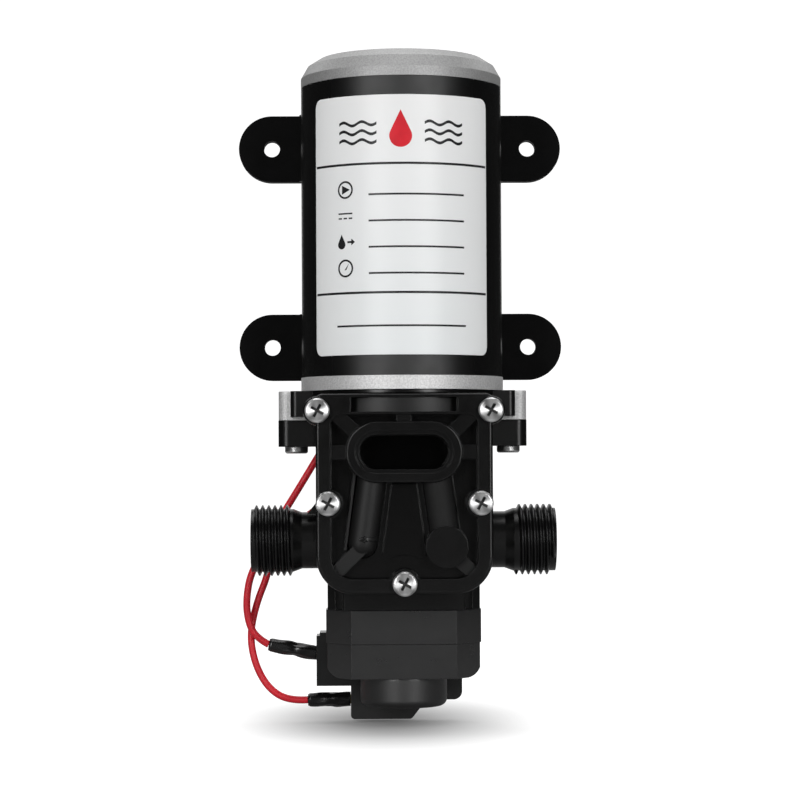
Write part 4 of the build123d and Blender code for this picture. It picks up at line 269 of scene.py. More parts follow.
# Plain finishes: colour, roughness, grain scale, grain depth and, for plastics, specular level
PLAIN_PLASTICS = {
    "valve_rubber": ((0.012, 0.012, 0.012), 0.6, 1500.0, 0.02 * MM, 0.2),
    "white_plastic": ((0.7, 0.7, 0.66), 0.45, 1200.0, 0.02 * MM, 0.5),
    "board": ((0.2, 0.1, 0.04), 0.55, 900.0, 0.03 * MM, 0.5),
    "carbon": ((0.03, 0.03, 0.034), 0.5, 1500.0, 0.03 * MM, 0.5),
    "heat_shrink": ((0.006, 0.006, 0.006), 0.25, 900.0, 0.015 * MM, 0.5),
    "red_insulation": ((0.7, 0.02, 0.035), 0.42, 1500.0, 0.01 * MM, 0.35),
}
PLAIN_METALS = {
    "zinc_plate": ((0.45, 0.45, 0.45), 0.4, 900.0, 0.01 * MM),
    "spring_steel": ((0.45, 0.45, 0.45), 0.3, 1200.0, 0.01 * MM),
    "ferrite": ((0.08, 0.08, 0.08), 0.6, 900.0, 0.02 * MM),
    "bronze": ((0.45, 0.28, 0.12), 0.45, 1500.0, 0.02 * MM),
    "copper": ((0.75, 0.3, 0.16), 0.3, 1200.0, 0.01 * MM),
    "brass_tab": ((0.75, 0.55, 0.22), 0.3, 900.0, 0.01 * MM),
}
MATT_RUBBER = ((0.0038, 0.0038, 0.0039), 0.6, 2500.0, 0.01 * MM, 0.04)
BLACK_INK = ((0.012, 0.012, 0.013), 0.45, 1500.0, 0.003 * MM)
RED_INK = ((0.6, 0.008, 0.02), 0.45, 1500.0, 0.003 * MM)

# The mix node's two values and its result, by data type
MIX_SOCKETS = {"RGBA": (6, 7, 2), "FLOAT": (2, 3, 0)}


# Objects


def link(obj):
    """Puts an object into the scene and hands it back."""
    bpy.context.scene.collection.objects.link(obj)
    return obj


def mesh_piece(name, points, faces, material):
    """A smooth mesh of four-sided faces. Faces with more corners stay flat."""
    mesh = bpy.data.meshes.new(name)
    mesh.from_pydata(points, [], faces)
    for face in mesh.polygons:
        face.use_smooth = len(face.vertices) == 4
    mesh.materials.append(material)
    return link(bpy.data.objects.new(name, mesh))


def add_camera():
    """The camera at the photograph's viewing angle: left of the axis, looking slightly up."""
    data = bpy.data.cameras.new("camera")
    data.lens = CAMERA_LENS
    data.sensor_width = CAMERA_SENSOR
    data.clip_start = CAMERA_NEAR
    data.clip_end = CAMERA_FAR
    yaw = Matrix.Rotation(math.radians(CAMERA_YAW), 4, "Z")
    pitch = Matrix.Rotation(math.radians(90 + CAMERA_PITCH), 4, "X")
    roll = Matrix.Rotation(math.radians(CAMERA_ROLL), 4, "Z")
    camera = link(bpy.data.objects.new("camera", data))
    camera.location = CAMERA_PLACE
    camera.rotation_mode = "QUATERNION"
    camera.rotation_quaternion = (yaw @ pitch @ roll).to_quaternion()
    bpy.context.scene.camera = camera


def wire(name, route, material):
    """A round wire whose centreline is a smooth curve led by the route's points."""
    data = bpy.data.curves.new(name, "CURVE")
    data.dimensions = "3D"
    data.bevel_depth = WIRE_RADIUS
    data.bevel_resolution = WIRE_ROUND_STEPS
    data.resolution_u = WIRE_RUN_STEPS
    data.use_fill_caps = True
    spline = data.splines.new("NURBS")
    spline.points.add(len(route) - 1)
    for point, place in zip(spline.points, route):
        point.co = (*(value * MM for value in place), 1.0)
    spline.order_u = WIRE_CURVE_ORDER
    spline.use_endpoint_u = True
    data.materials.append(material)
    return link(bpy.data.objects.new(name, data))


# Shader nodes: each function adds to a tree and hands back the socket that holds its result


def feed(tree, target, value):
    """Links a socket to another one, or gives it a plain value. None leaves it as it is."""
    if isinstance(value, bpy.types.NodeSocket):
        tree.links.new(value, target)
    elif value is not None:
        target.default_value = value


def shader_math(tree, operation, first, second=None, third=None):
    """One step on numbers."""
    node = tree.nodes.new("ShaderNodeMath")
    node.operation = operation
    for target, value in zip(node.inputs, (first, second, third)):
        feed(tree, target, value)
    return node.outputs[0]


def vector_math(tree, operation, first, second=None):
    """One step on vectors. SCALE takes a number as its second value."""
    node = tree.nodes.new("ShaderNodeVectorMath")
    node.operation = operation
    feed(tree, node.inputs[0], first)
    feed(tree, node.inputs["Scale" if operation == "SCALE" else 1], second)
    return node.outputs["Value" if operation == "LENGTH" else "Vector"]


def map_range(tree, value, source=(0.0, 1.0), result=(0.0, 1.0), smooth=False):
    """Maps one span onto another and holds the result at both ends."""
    node = tree.nodes.new("ShaderNodeMapRange")
    if smooth:
        node.interpolation_type = "SMOOTHSTEP"
    for name, end in zip(("From Min", "From Max", "To Min", "To Max"), (*source, *result)):
        feed(tree, node.inputs[name], end)
    feed(tree, node.inputs["Value"], value)
    return node.outputs["Result"]


def mixed(tree, data_type, factor, first, second, blend="MIX"):
    """Blends two colours or numbers by a factor."""
    node = tree.nodes.new("ShaderNodeMix")
    node.data_type = data_type
    node.blend_type = blend
    start, end, result = MIX_SOCKETS[data_type]
    feed(tree, node.inputs["Factor"], factor)
    feed(tree, node.inputs[start], first)
    feed(tree, node.inputs[end], second)
    return node.outputs[result]


def colour_ramp(tree, factor, low, high, span=(0.0, 1.0)):
    """Runs from one colour to another over a span of the factor."""
    ramp = tree.nodes.new("ShaderNodeValToRGB")
    for element, place, colour in zip(ramp.color_ramp.elements, span, (low, high)):
        element.position = place
        element.color = (*colour, 1.0)
    feed(tree, ramp.inputs["Fac"], factor)
    return ramp.outputs["Color"]


def object_place(tree):
    """The shaded point in the object's own space, in metres."""
    return tree.nodes.new("ShaderNodeTexCoord").outputs["Object"]


def part_of(tree, vector, axis):
    """One coordinate of a vector, by the axis's letter or number."""
    split = tree.nodes.new("ShaderNodeSeparateXYZ")
    feed(tree, split.inputs[0], vector)
    return split.outputs[axis]


def noise(tree, scale, detail):
    """Noise in the object's own space."""
    texture = tree.nodes.new("ShaderNodeTexNoise")
    feed(tree, texture.inputs["Scale"], scale)
    feed(tree, texture.inputs["Detail"], detail)
    feed(tree, texture.inputs["Vector"], object_place(tree))
    return texture.outputs["Fac"]


def along_axis(tree, axis, span, both_sides=False):
    """Zero before a span and one past it, along one axis of the object's own space."""
    value = part_of(tree, object_place(tree), axis)
    if both_sides:
        value = shader_math(tree, "ABSOLUTE", value)
    return map_range(tree, value, span)


def inside_box(tree, centre, half):
    """One inside a box in the object's own space, zero outside it. Sizes in millimetres."""
    place = object_place(tree)
    inside = None
    for axis in range(3):
        value = part_of(tree, place, axis)
        near = shader_math(tree, "COMPARE", value, centre[axis] * MM, half[axis] * MM)
        inside = near if inside is None else shader_math(tree, "MULTIPLY", inside, near)
    return inside


# Materials


def shader_of(material):
    """The node that holds a material's surface values."""
    return material.node_tree.nodes["Principled BSDF"]


def new_material(name, colour, roughness, metallic=0.0, specular=0.5):
    """A shader with its even values set on its own sockets."""
    material = bpy.data.materials.new(name)
    material.use_nodes = True
    inputs = shader_of(material).inputs
    inputs["Base Color"].default_value = (*colour, 1.0)
    inputs["Roughness"].default_value = roughness
    inputs["Metallic"].default_value = metallic
    inputs["Specular IOR Level"].default_value = specular
    return material


def change_input(material, name, factor, value, blend="MIX"):
    """Mixes another value into a shader's input where the factor is one."""
    target = shader_of(material).inputs[name]
    present = target.links[0].from_socket if target.is_linked else target.default_value
    data_type = "RGBA" if name == "Base Color" else "FLOAT"
    result = mixed(material.node_tree, data_type, factor, present, value, blend)
    feed(material.node_tree, target, result)


def override(material, factor, roughness=None, colour=None):
    """Gives a material another gloss, another colour or both where the factor is one."""
    if roughness is not None:
        change_input(material, "Roughness", factor, roughness)
    if colour is not None:
        change_input(material, "Base Color", factor, (*colour, 1.0))


def paint_shade(material, factor, share):
    """Multiplies a material's colour by a share where the factor is one, as painted shade."""
    change_input(material, "Base Color", factor, (share, share, share, 1.0), "MULTIPLY")


def vary_colour(material, colour, drift, scale):
    """Colour that drifts by a share below and above its tone."""
    tree = material.node_tree
    low = [value * (1 - drift) for value in colour]
    high = [min(1.0, value * (1 + drift)) for value in colour]
    tone = noise(tree, scale, COLOUR_DETAIL)
    drifting = colour_ramp(tree, tone, low, high, COLOUR_NOISE_SPAN)
    feed(tree, shader_of(material).inputs["Base Color"], drifting)


def vary_roughness(material, low, high, scale):
    """Gloss that drifts between two values."""
    tree = material.node_tree
    drifting = map_range(tree, noise(tree, scale, GLOSS_DETAIL), GLOSS_NOISE_SPAN, (low, high))
    feed(tree, shader_of(material).inputs["Roughness"], drifting)


def add_grain(material, scale, depth, edge=EDGE_RADIUS):
    """Fine grain as bump, its depth in metres, over softened edges."""
    tree = material.node_tree
    bevel = tree.nodes.new("ShaderNodeBevel")
    bevel.samples = EDGE_SAMPLES
    bump = tree.nodes.new("ShaderNodeBump")
    feed(tree, bevel.inputs["Radius"], edge)
    feed(tree, bump.inputs["Distance"], depth)
    feed(tree, bump.inputs["Strength"], GRAIN_STRENGTH)
    feed(tree, bump.inputs["Height"], noise(tree, scale, GRAIN_DETAIL))
    feed(tree, bump.inputs["Normal"], bevel.outputs["Normal"])
    feed(tree, shader_of(material).inputs["Normal"], bump.outputs["Normal"])


def plastic(name, colour, roughness, grain_scale, grain_depth, specular=0.3, spread=0.06):
    """Moulded plastic or rubber: uneven gloss and fine grain."""
    material = new_material(name, colour, roughness, specular=specular)
    vary_colour(material, colour, PLASTIC_DRIFT, PLASTIC_COLOUR_SCALE)
    vary_roughness(material, roughness - spread, roughness + spread, PLASTIC_GLOSS_SCALE)
    add_grain(material, grain_scale, grain_depth)
    return material


def metal(name, colour, roughness, grain_scale, grain_depth, spread=0.08, metallic=1.0):
    """Cast, drawn or plated metal: a busy drift of tone and gloss, and fine grain."""
    material = new_material(name, colour, roughness, metallic=metallic)
    vary_colour(material, colour, METAL_DRIFT, METAL_COLOUR_SCALE)
    vary_roughness(material, roughness - spread, roughness + spread, METAL_GLOSS_SCALE)
    add_grain(material, grain_scale, grain_depth)
    return material


def offset_from_screw(tree, place):
    """The vector from a cover screw's centre to a place near it, and zero away from them all."""
    total = None
    for centre in COVER_SCREW_CENTRES:
        offset = vector_math(tree, "SUBTRACT", place, centre)
        length = vector_math(tree, "LENGTH", offset)
        near = shader_math(tree, "LESS_THAN", length, SCREW_REACH)
        kept = vector_math(tree, "SCALE", offset, near)
        total = kept if total is None else vector_math(tree, "ADD", total, kept)
    return total


def painted_sector_highlight(tree, across):
    """Painted highlight: four lighter sectors round a centre in the colour, like the reflection on
    a turned face.
    """
    angle = shader_math(tree, "ARCTAN2", part_of(tree, across, "Z"), part_of(tree, across, "X"))
    wave = shader_math(tree, "COSINE", shader_math(tree, "MULTIPLY", angle, 4.0))
    return map_range(tree, wave, (-1.0, 1.0), (0.3, 0.9))


def turned_steel():
    """Bright screw steel, drawn outward on the cover screws' turned heads, with a painted highlight
    in four sectors and painted shade in the cross.
    """
    material = new_material("bright_steel", (0.42, 0.42, 0.42), 0.36, metallic=1.0)
    tree = material.node_tree
    inputs = shader_of(material).inputs
    inputs["Anisotropic"].default_value = 0.8
    place = object_place(tree)
    across = offset_from_screw(tree, place)
    feed(tree, inputs["Tangent"], across)
    # Painted highlight: the colour is lighter in four sectors round each head.
    feed(tree, inputs["Base Color"], painted_sector_highlight(tree, across))
    vary_roughness(material, 0.32, 0.4, METAL_GLOSS_SCALE)
    # Painted shade: the cross recess is coloured dark grey and made rough.
    reach = vector_math(tree, "LENGTH", across)
    middle = shader_math(tree, "COMPARE", reach, CROSS_MIDDLE, CROSS_HALF_SPAN)
    sunk = shader_math(tree, "GREATER_THAN", part_of(tree, place, "Y"), CROSS_FRONT_Y)
    cross = shader_math(tree, "MULTIPLY", middle, sunk)
    override(material, cross, roughness=0.7, colour=(0.1, 0.1, 0.1))
    return material


def head_nylon():
    """Smooth black nylon of the head and housing, with painted shade darkening the recess and the
    pocket.
    """
    material = new_material("black_nylon", (0.0035, 0.0035, 0.0035), 0.24, specular=0.32)
    tree = material.node_tree
    vary_roughness(material, 0.21, 0.26, PLASTIC_GLOSS_SCALE)
    add_grain(material, 1800.0, 0.004 * MM, edge=0.4 * MM)
    # Painted shade: the recess and pocket zones darken the colour where the head is hollow.
    for zone in HEAD_ZONES:
        colour = None if zone.grey is None else (zone.grey, zone.grey, zone.grey)
        override(material, inside_box(tree, zone.centre, zone.half), zone.roughness, colour)
    override(material, along_axis(tree, "X", PORT_SPAN_X, both_sides=True), roughness=0.3)
    return material


def label_film_material():
    """Silver-white film: a faint cool drift down the label, and sides painted paler as painted
    light, where the curve turns away from the lamps.
    """
    material = new_material("label_foil", (0.82, 0.83, 0.84), 0.42, specular=0.4)
    tree = material.node_tree
    inputs = shader_of(material).inputs
    inputs["Sheen Weight"].default_value = 0.4
    inputs["Sheen Roughness"].default_value = 0.45
    height = along_axis(tree, "Z", (LABEL_BOTTOM, LABEL_TOP))
    drift = colour_ramp(tree, height, (0.80, 0.825, 0.83), (0.82, 0.82, 0.82))
    feed(tree, inputs["Base Color"], drift)
    vary_roughness(material, 0.38, 0.46, METAL_GLOSS_SCALE)
    # Painted light: the sides are painted paler, where the curve turns from the lamps.
    sides = along_axis(tree, "X", LABEL_PAINTED_LIGHT_SPAN_X, both_sides=True)
    override(material, sides, colour=(0.97, 0.98, 0.98))
    return material


def sleeve_rubber():
    """Black rubber of the round sleeve: a soft sheen in front that fades toward the sides."""
    material = plastic(
        "black_rubber",
        colour=(0.0035, 0.0035, 0.0036),
        roughness=0.52,
        grain_scale=2500.0,
        grain_depth=0.01 * MM,
        specular=0.6,
        spread=0.03,
    )
    sides = along_axis(material.node_tree, "X", SLEEVE_SIDE_SPAN_X, both_sides=True)
    override(material, sides, roughness=0.27)
    return material


def cast_metal():
    """Cast aluminium with a dull skin, with painted shade darkening the rear cap."""
    material = metal(
        "cast_aluminium",
        colour=(0.64, 0.64, 0.64),
        roughness=0.58,
        grain_scale=2400.0,
        grain_depth=0.05 * MM,
        spread=0.03,
        metallic=0.5,
    )
    tree = material.node_tree
    # Painted shade: the rear cap's wall and crown are darkened as if in shade.
    paint_shade(material, along_axis(tree, "Z", REAR_CAP_PAINTED_SHADE_SPAN_Z), 0.6)
    paint_shade(material, along_axis(tree, "Z", REAR_CAP_TOP_PAINTED_SHADE_SPAN_Z), 0.95)
    return material


def switch_body_plastic():
    """Dark grey plastic of the pressure switch, its round cap a little duller."""
    material = plastic(
        "switch_plastic",
        colour=(0.009, 0.009, 0.0092),
        roughness=0.29,
        grain_scale=1500.0,
        grain_depth=0.012 * MM,
        specular=0.75,
        spread=0.02,
    )
    cap = along_axis(material.node_tree, "Z", SWITCH_CAP_SPAN_Z)
    override(material, cap, roughness=0.5, colour=(0.005, 0.005, 0.0051))
    return material


def case_plastic():
    """The microswitch's black case, paler at its lower end."""
    material = plastic(
        "black_gloss",
        colour=(0.007, 0.007, 0.007),
        roughness=0.33,
        grain_scale=1200.0,
        grain_depth=0.01 * MM,
        specular=0.35,
        spread=0.03,
    )
    low_end = along_axis(material.node_tree, "Z", CASE_LOW_END_SPAN_Z)
    override(material, low_end, colour=(0.026, 0.026, 0.026))
    return material


def make_materials():
    """Every finish that the record's slots name."""
    made = {
        "black_rubber": sleeve_rubber(),
        "black_nylon": head_nylon(),
        "switch_plastic": switch_body_plastic(),
        "black_gloss": case_plastic(),
        "label_foil": label_film_material(),
        "cast_aluminium": cast_metal(),
        "bright_steel": turned_steel(),
    }
    for name, finish in PLAIN_PLASTICS.items():
        made[name] = plastic(name, *finish)
    for name, finish in PLAIN_METALS.items():
        made[name] = metal(name, *finish)
    return made


def give_slot(slot, material):
    """Sets a slot's finish on the object, and leaves its mesh as it is."""
    slot.link = "OBJECT"
    slot.material = material


def matt_sides(sleeve, material):
    """A second, matt finish on the sleeve's ears and back: every face off its cylinder."""
    sleeve.data.materials.append(material)
    give_slot(sleeve.material_slots[-1], material)
    matt_index = len(sleeve.material_slots) - 1
    for face in sleeve.data.polygons:
        out = math.hypot(face.center.x, face.center.y - AXIS_Y)
        off_cylinder = abs(out - SLEEVE_RADIUS) > SLEEVE_FACE_GAP
        if off_cylinder or abs(face.center.x) > SLEEVE_RADIUS:
            face.material_index = matt_index


def dress_nodes(materials):
    """Gives every modelled node the finish that its record slot names."""
    slots = {part["node"]: part["material_slot"] for part in frame["record"]["subparts"]}
    for node, obj in frame["nodes"].items():
        for slot in obj.material_slots:
            give_slot(slot, materials[slots[node]])
    matt_sides(frame["nodes"]["motor_sleeve"], plastic("matt_rubber", *MATT_RUBBER))


def shorten_spring(node):
    """Gives a coil spring's object a mesh of its own."""
    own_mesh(frame["nodes"][node])


# Label and its print


def wrapped(point, lift):
    """A flat point, arc length and height, put round the motor's axis."""
    angle = (point[0] + LABEL_SHIFT) / LABEL_RADIUS
    radius = LABEL_RADIUS + lift
    return (radius * math.sin(angle), AXIS_Y - radius * math.cos(angle), point[1])


def corner_drop(arc):
    """How far the label's rounded corner pulls its edge in at this arc length."""
    into = abs(arc) - (LABEL_HALF_ARC - LABEL_CORNER)
    if into <= 0:
        return 0.0
    return LABEL_CORNER - math.sqrt(max(0.0, LABEL_CORNER**2 - into**2))


def add_label(material):
    """The silver-white film with rounded corners, with two more rows of points by its edges."""
    points = []
    for column in range(LABEL_COLUMNS + 1):
        arc = -LABEL_HALF_ARC + 2 * LABEL_HALF_ARC * column / LABEL_COLUMNS
        low = LABEL_BOTTOM + corner_drop(arc)
        high = LABEL_TOP - corner_drop(arc)
        for height in (low, low + LABEL_EDGE, high - LABEL_EDGE, high):
            points.append(wrapped((arc, height), 0.0))
    faces = []
    for column in range(LABEL_COLUMNS):
        for row in range(3):
            first = 4 * column + row
            faces.append((first, first + 4, first + 5, first + 1))
    label = mesh_piece("label_film", points, faces, material)
    thick = label.modifiers.new("thickness", "SOLIDIFY")
    thick.thickness = LABEL_THICKNESS
    thick.offset = 1.0
    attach(label, "casing")
    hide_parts("rating_label")


def filled_mesh(name, outlines):
    """A flat mesh, in millimetres, that fills closed outlines given in metres."""
    data = bpy.data.curves.new(name, "CURVE")
    data.dimensions = "2D"
    data.fill_mode = "BOTH"
    for outline in outlines:
        spline = data.splines.new("POLY")
        spline.points.add(len(outline) - 1)
        for point, place in zip(spline.points, outline):
            point.co = (place[0] / MM, place[1] / MM, 0.0, 1.0)
        spline.use_cyclic_u = True
    flat = bpy.data.objects.new(name + "_flat", data)
    mesh = bpy.data.meshes.new_from_object(flat)
    bpy.data.objects.remove(flat)
    return mesh


def print_shape(name, outlines, material):
    """Printed ink: filled outlines, cut into narrow strips and laid round the label."""
    mesh = filled_mesh(name, outlines)
    cut = bmesh.new()
    cut.from_mesh(mesh)
    low = min(vert.co.x for vert in cut.verts)
    high = max(vert.co.x for vert in cut.verts)
    place = math.floor(low) + PRINT_STRIP
    while place < high:
        everything = cut.verts[:] + cut.edges[:] + cut.faces[:]
        bmesh.ops.bisect_plane(cut, geom=everything, plane_co=(place, 0, 0), plane_no=(1, 0, 0))
        place += PRINT_STRIP
    for vert in cut.verts:
        vert.co = wrapped((vert.co.x * MM, vert.co.y * MM), LABEL_THICKNESS + PRINT_LIFT)
    bmesh.ops.recalc_face_normals(cut, faces=cut.faces[:])
    cut.to_mesh(mesh)
    cut.free()
    mesh.materials.append(material)
    piece = link(bpy.data.objects.new(name, mesh))
    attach(piece, "casing")


def ring_points(x, z, radius, count=40):
    """A circle round a centre."""
    points = []
    for i in range(count):
        angle = 2 * math.pi * i / count
        points.append((x + radius * math.cos(angle), z + radius * math.sin(angle)))
    return points


def bar_points(x, z, half_x, half_z):
    """A rectangle round a centre."""
    return [
        (x - half_x, z - half_z),
        (x + half_x, z - half_z),
        (x + half_x, z + half_z),
        (x - half_x, z + half_z),
    ]


def drop_points(x, z, radius, tall, turns=36):
    """A water drop: a round belly whose sides run straight up to a point."""
    points = []
    start = math.acos(radius / tall)
    for i in range(turns + 1):
        angle = start + (2 * math.pi - 2 * start) * i / turns
        points.append((x + radius * math.sin(angle), z + radius * math.cos(angle)))
    points.append((x, z + tall))
    return points


def wave_points(x, z, steps=36):
    """One printed wave: a thick line along two turns of a sine."""
    upper = []
    lower = []
    for i in range(steps + 1):
        along = i / steps
        middle = z + WAVE_RISE * math.sin(along * 4 * math.pi)
        across = x - WAVE_LENGTH / 2 + WAVE_LENGTH * along
        upper.append((across, middle + WAVE_THICKNESS / 2))
        lower.append((across, middle - WAVE_THICKNESS / 2))
    return upper + lower[::-1]


def symbol_outline(z, offsets):
    """An outline round the centre of the symbol at this height."""
    return [(SYMBOL_X + across * MM, z + up * MM) for across, up in offsets]


def symbol_ring(z):
    """The inner and outer edge of the ring round a symbol."""
    return [ring_points(SYMBOL_X, z, radius) for radius in (SYMBOL_RADIUS, SYMBOL_INNER_RADIUS)]


def direct_current_bars(z):
    """A long bar over three short dashes."""
    thick = DIRECT_BAR_HALF_THICKNESS
    bars = [bar_points(SYMBOL_X, z + DIRECT_BAR_GAP, DIRECT_BAR_HALF_LENGTH, thick)]
    for index in (-1, 0, 1):
        dash_x = SYMBOL_X + index * DIRECT_DASH_SPACING
        bars.append(bar_points(dash_x, z - DIRECT_BAR_GAP, DIRECT_DASH_HALF_LENGTH, thick))
    return bars


def add_print(ink, red_ink):
    """The label's layout: rules, a drop with waves, and symbols beside blank lines."""
    rule_half = LABEL_HALF_ARC - RULE_MARGIN
    rules = [bar_points(0, z, rule_half, RULE_THICKNESS / 2) for z in (UPPER_RULE_Z, LOWER_RULE_Z)]
    print_shape("label_rules", rules, ink)
    drop = drop_points(0, HEADER_Z - DROP_FALL, DROP_RADIUS, DROP_HEIGHT)
    print_shape("label_drop", [drop], red_ink)
    waves = []
    for side in (-1, 1):
        for row in (-1, 0, 1):
            waves.append(wave_points(side * WAVE_SIDE, HEADER_Z + row * WAVE_SPACING))
    print_shape("label_waves", waves, ink)
    lines = [
        bar_points(LINE_X, z - LINE_FALL, LINE_HALF_LENGTH, LINE_HALF_THICKNESS)
        for z in SYMBOL_ROWS
    ]
    lines.append(bar_points(0, LOWEST_LINE_Z, LOWEST_LINE_HALF_LENGTH, LINE_HALF_THICKNESS))
    print_shape("label_blank_lines", lines, ink)
    pump_z, direct_z, flow_z, gauge_z = SYMBOL_ROWS
    pump = symbol_ring(pump_z) + [symbol_outline(pump_z, PUMP_ARROW)]
    print_shape("label_pump_symbol", pump, ink)
    print_shape("label_direct_current_symbol", direct_current_bars(direct_z), ink)
    small_drop = drop_points(
        FLOW_DROP_X, flow_z - FLOW_DROP_FALL, FLOW_DROP_RADIUS, FLOW_DROP_HEIGHT
    )
    print_shape("label_flow_symbol", [small_drop, symbol_outline(flow_z, FLOW_ARROW)], ink)
    gauge = symbol_ring(gauge_z) + [symbol_outline(gauge_z, GAUGE_NEEDLE)]
    print_shape("label_gauge_symbol", gauge, ink)


# Crimp sleeves


def grown(share, part):
    """From a share up to one, as the part goes from zero to one."""
    return share + (1 - share) * min(1.0, part)


def crimp_radius(along, angle, seed):
    """The sleeve's radius at one place: tapered, drawn in at both ends, wrinkled between."""
    root = grown(CRIMP_ROOT_SHARE, along / CRIMP_ROOT_SPAN)
    tip = grown(CRIMP_TIP_SHARE, (1 - along) / CRIMP_TIP_SPAN)
    base = CRIMP_RADIUS * root * tip * (1 - CRIMP_TAPER * along)
    twist = angle + CRIMP_TWIST * along + seed
    bulge = math.sin(math.pi * along)
    fold = FOLD_DEPTH * math.sin(FOLD_WAVES * twist + FOLD_TURN * along) * bulge
    ripple = math.sin(CREASE_WAVES * twist + CREASE_TURN * along + seed)
    crease = CREASE_DEPTH * ripple * bulge**0.5
    waist = -WAIST_DEPTH * math.exp(-(((along - WAIST_PLACE) / WAIST_SPAN) ** 2))
    return base * (1 + fold + crease + waist)


def crimp_sleeve(name, root, end, seed, material, node):
    """A heat-shrunk sleeve: snug on the flat blade, round on the wire."""
    root = Vector(root)
    run = Vector(end) - root
    across = Vector((0, 1, 0))
    up = run.cross(across).normalized()
    points = []
    for ring in range(CRIMP_RINGS + 1):
        along = ring / CRIMP_RINGS
        for side in range(CRIMP_SIDES):
            angle = 2 * math.pi * side / CRIMP_SIDES
            radius = crimp_radius(along, angle, seed)
            around = across * (math.cos(angle) * radius) + up * (math.sin(angle) * radius)
            around.x *= min(1.0, along / CRIMP_FLAT_SPAN)
            points.append(root + run * along + around)
    faces = []
    for ring in range(CRIMP_RINGS):
        low = ring * CRIMP_SIDES
        high = low + CRIMP_SIDES
        for side in range(CRIMP_SIDES):
            after = (side + 1) % CRIMP_SIDES
            faces.append((low + side, low + after, high + after, high + side))
    faces.append(tuple(range(CRIMP_SIDES))[::-1])
    faces.append(tuple(CRIMP_RINGS * CRIMP_SIDES + side for side in range(CRIMP_SIDES)))
    piece = mesh_piece(name, points, faces, material)
    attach(piece, "casing")
    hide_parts(node)
    return piece


# Studio


def seen_ray(tree, gloss=1.0):
    """One for camera and transmission rays, and the gloss for reflected ones."""
    rays = tree.nodes.new("ShaderNodeLightPath").outputs
    glossy = shader_math(tree, "MULTIPLY", rays["Is Glossy Ray"], gloss)
    seen = shader_math(tree, "MAXIMUM", rays["Is Camera Ray"], glossy)
    return shader_math(tree, "MAXIMUM", seen, rays["Is Transmission Ray"])


def stage_material(name):
    """White paper that glows to the rays seen_ray names, less under the object as a painted shadow,
    and less in front.
    """
    material = new_material(name, (FLOOR_GREY,) * 3, FLOOR_ROUGHNESS, specular=0.0)
    tree = material.node_tree
    place = object_place(tree)
    centred = tree.nodes.new("ShaderNodeMapping")
    centred.vector_type = "TEXTURE"
    feed(tree, centred.inputs["Location"], SHADE_CENTRE)
    feed(tree, centred.inputs["Scale"], (SHADE_HALF_WIDTH, SHADE_HALF_DEPTH, 1.0))
    feed(tree, centred.inputs["Vector"], place)
    # Painted shadow: the glow drops in an ellipse under the object.
    away = vector_math(tree, "LENGTH", centred.outputs["Vector"])
    painted_shadow = map_range(tree, away, result=(SHADE_GLOW, 1.0), smooth=True)
    gloss = map_range(tree, part_of(tree, place, "Y"), GLOSS_RISE_Y, (FLOOR_GLOSS, 1.0))
    glow = shader_math(tree, "MULTIPLY", painted_shadow, seen_ray(tree, gloss))
    emission = tree.nodes.new("ShaderNodeEmission")
    feed(tree, emission.inputs["Strength"], glow)
    both = tree.nodes.new("ShaderNodeAddShader")
    feed(tree, both.inputs[0], shader_of(material).outputs[0])
    feed(tree, both.inputs[1], emission.outputs[0])
    feed(tree, tree.nodes["Material Output"].inputs["Surface"], both.outputs[0])
    return material


def add_stage():
    """A floor that runs up into a backdrop, all one pale sheet."""
    rows = [(STAGE_FRONT, FLOOR_Z)]
    for step in range(STAGE_BEND_STEPS + 1):
        angle = math.pi / 2 * step / STAGE_BEND_STEPS
        y = STAGE_BACK - STAGE_BEND + STAGE_BEND * math.sin(angle)
        rows.append((y, FLOOR_Z + STAGE_BEND * (1 - math.cos(angle))))
    rows.append((STAGE_BACK, FLOOR_Z + BACKDROP_HEIGHT))
    points = [(x, y, z) for y, z in rows for x in (-STAGE_HALF_WIDTH, STAGE_HALF_WIDTH)]
    faces = [(2 * i, 2 * i + 1, 2 * i + 3, 2 * i + 2) for i in range(len(rows) - 1)]
    mesh_piece("backdrop", points, faces, stage_material("backdrop"))


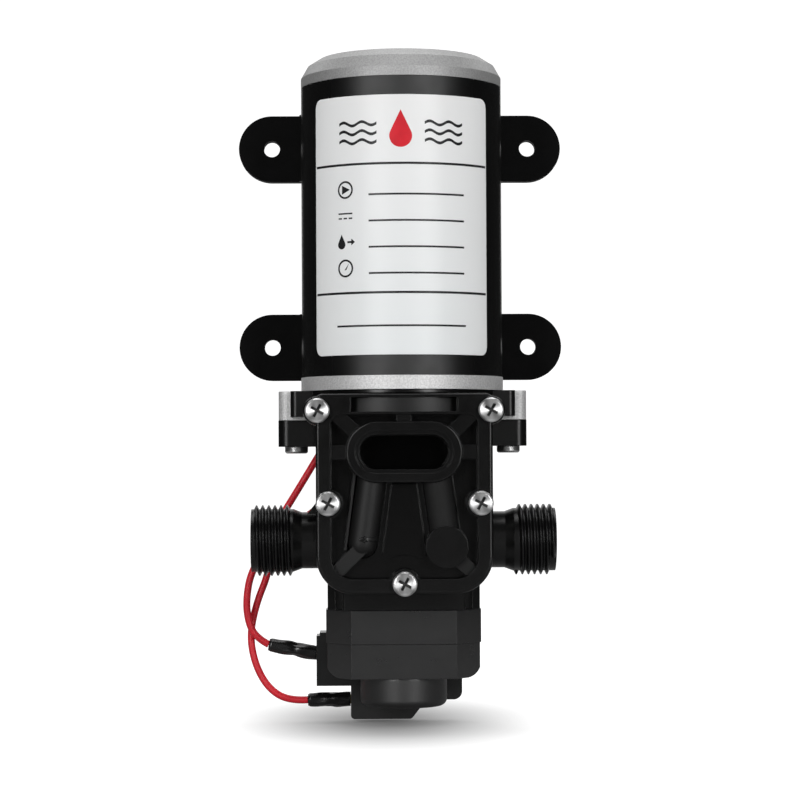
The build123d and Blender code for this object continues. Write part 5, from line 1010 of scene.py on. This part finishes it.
def add_world():
    """A white room behind the object and a dim one in front of it, with a low even fill."""
    world = bpy.data.worlds.new("studio")
    bpy.context.scene.world = world
    world.use_nodes = True
    tree = world.node_tree
    background = tree.nodes["Background"]
    feed(tree, background.inputs["Color"], (1.0, 1.0, 1.0, 1.0))
    rays = tree.nodes.new("ShaderNodeLightPath").outputs
    direction = tree.nodes.new("ShaderNodeTexCoord").outputs["Generated"]
    behind = map_range(tree, part_of(tree, direction, "Y"), WHITE_RISE_Y, smooth=True)
    shown = shader_math(tree, "MULTIPLY", behind, seen_ray(tree))
    white = shader_math(tree, "MAXIMUM", shown, rays["Is Camera Ray"])
    fill = map_range(tree, rays["Is Diffuse Ray"], result=(WORLD_FILL, DIFFUSE_FILL))
    feed(tree, background.inputs["Strength"], map_range(tree, white, result=(fill, 1.0)))


def add_lights():
    """Two tall soft boxes in front, a soft box overhead, and two high ones behind for the back."""
    for lamp in LAMPS:
        data = bpy.data.lights.new(lamp.name, "AREA")
        data.shape = "RECTANGLE"
        data.size, data.size_y = lamp.size
        data.energy = lamp.power
        light = link(bpy.data.objects.new(lamp.name, data))
        light.location = lamp.place
        aim = Vector(LAMP_TARGET) - Vector(lamp.place)
        light.rotation_euler = aim.to_track_quat("-Z", "Y").to_euler()


bpy.context.scene.view_settings.view_transform = "Standard"
add_camera()
materials = make_materials()
dress_nodes(materials)
add_label(materials["label_foil"])
add_print(plastic("black_ink", *BLACK_INK), plastic("red_ink", *RED_INK))
upper_sleeve = crimp_sleeve(
    "upper_crimp_shrink",
    UPPER_BLADE_ROOT,
    [value * MM for value in UPPER_WIRE_ROUTE[0]],
    0.4,
    materials["heat_shrink"],
    "upper_crimp_sleeve",
)
lower_sleeve = crimp_sleeve(
    "lower_crimp_shrink",
    LOWER_BLADE_ROOT,
    [value * MM for value in LOWER_WIRE_ROUTE[0]],
    2.1,
    materials["heat_shrink"],
    "lower_crimp_sleeve",
)
upper_wire = wire("upper_wire_run", UPPER_WIRE_ROUTE, materials["red_insulation"])
lower_wire = wire("lower_wire_run", LOWER_WIRE_ROUTE, materials["red_insulation"])
for run, node in ((upper_wire, "upper_wire"), (lower_wire, "lower_wire")):
    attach(run, "casing")
    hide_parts(node)
shorten_spring("switch_spring")
shorten_spring("button_spring")
add_stage()
add_world()
add_lights()
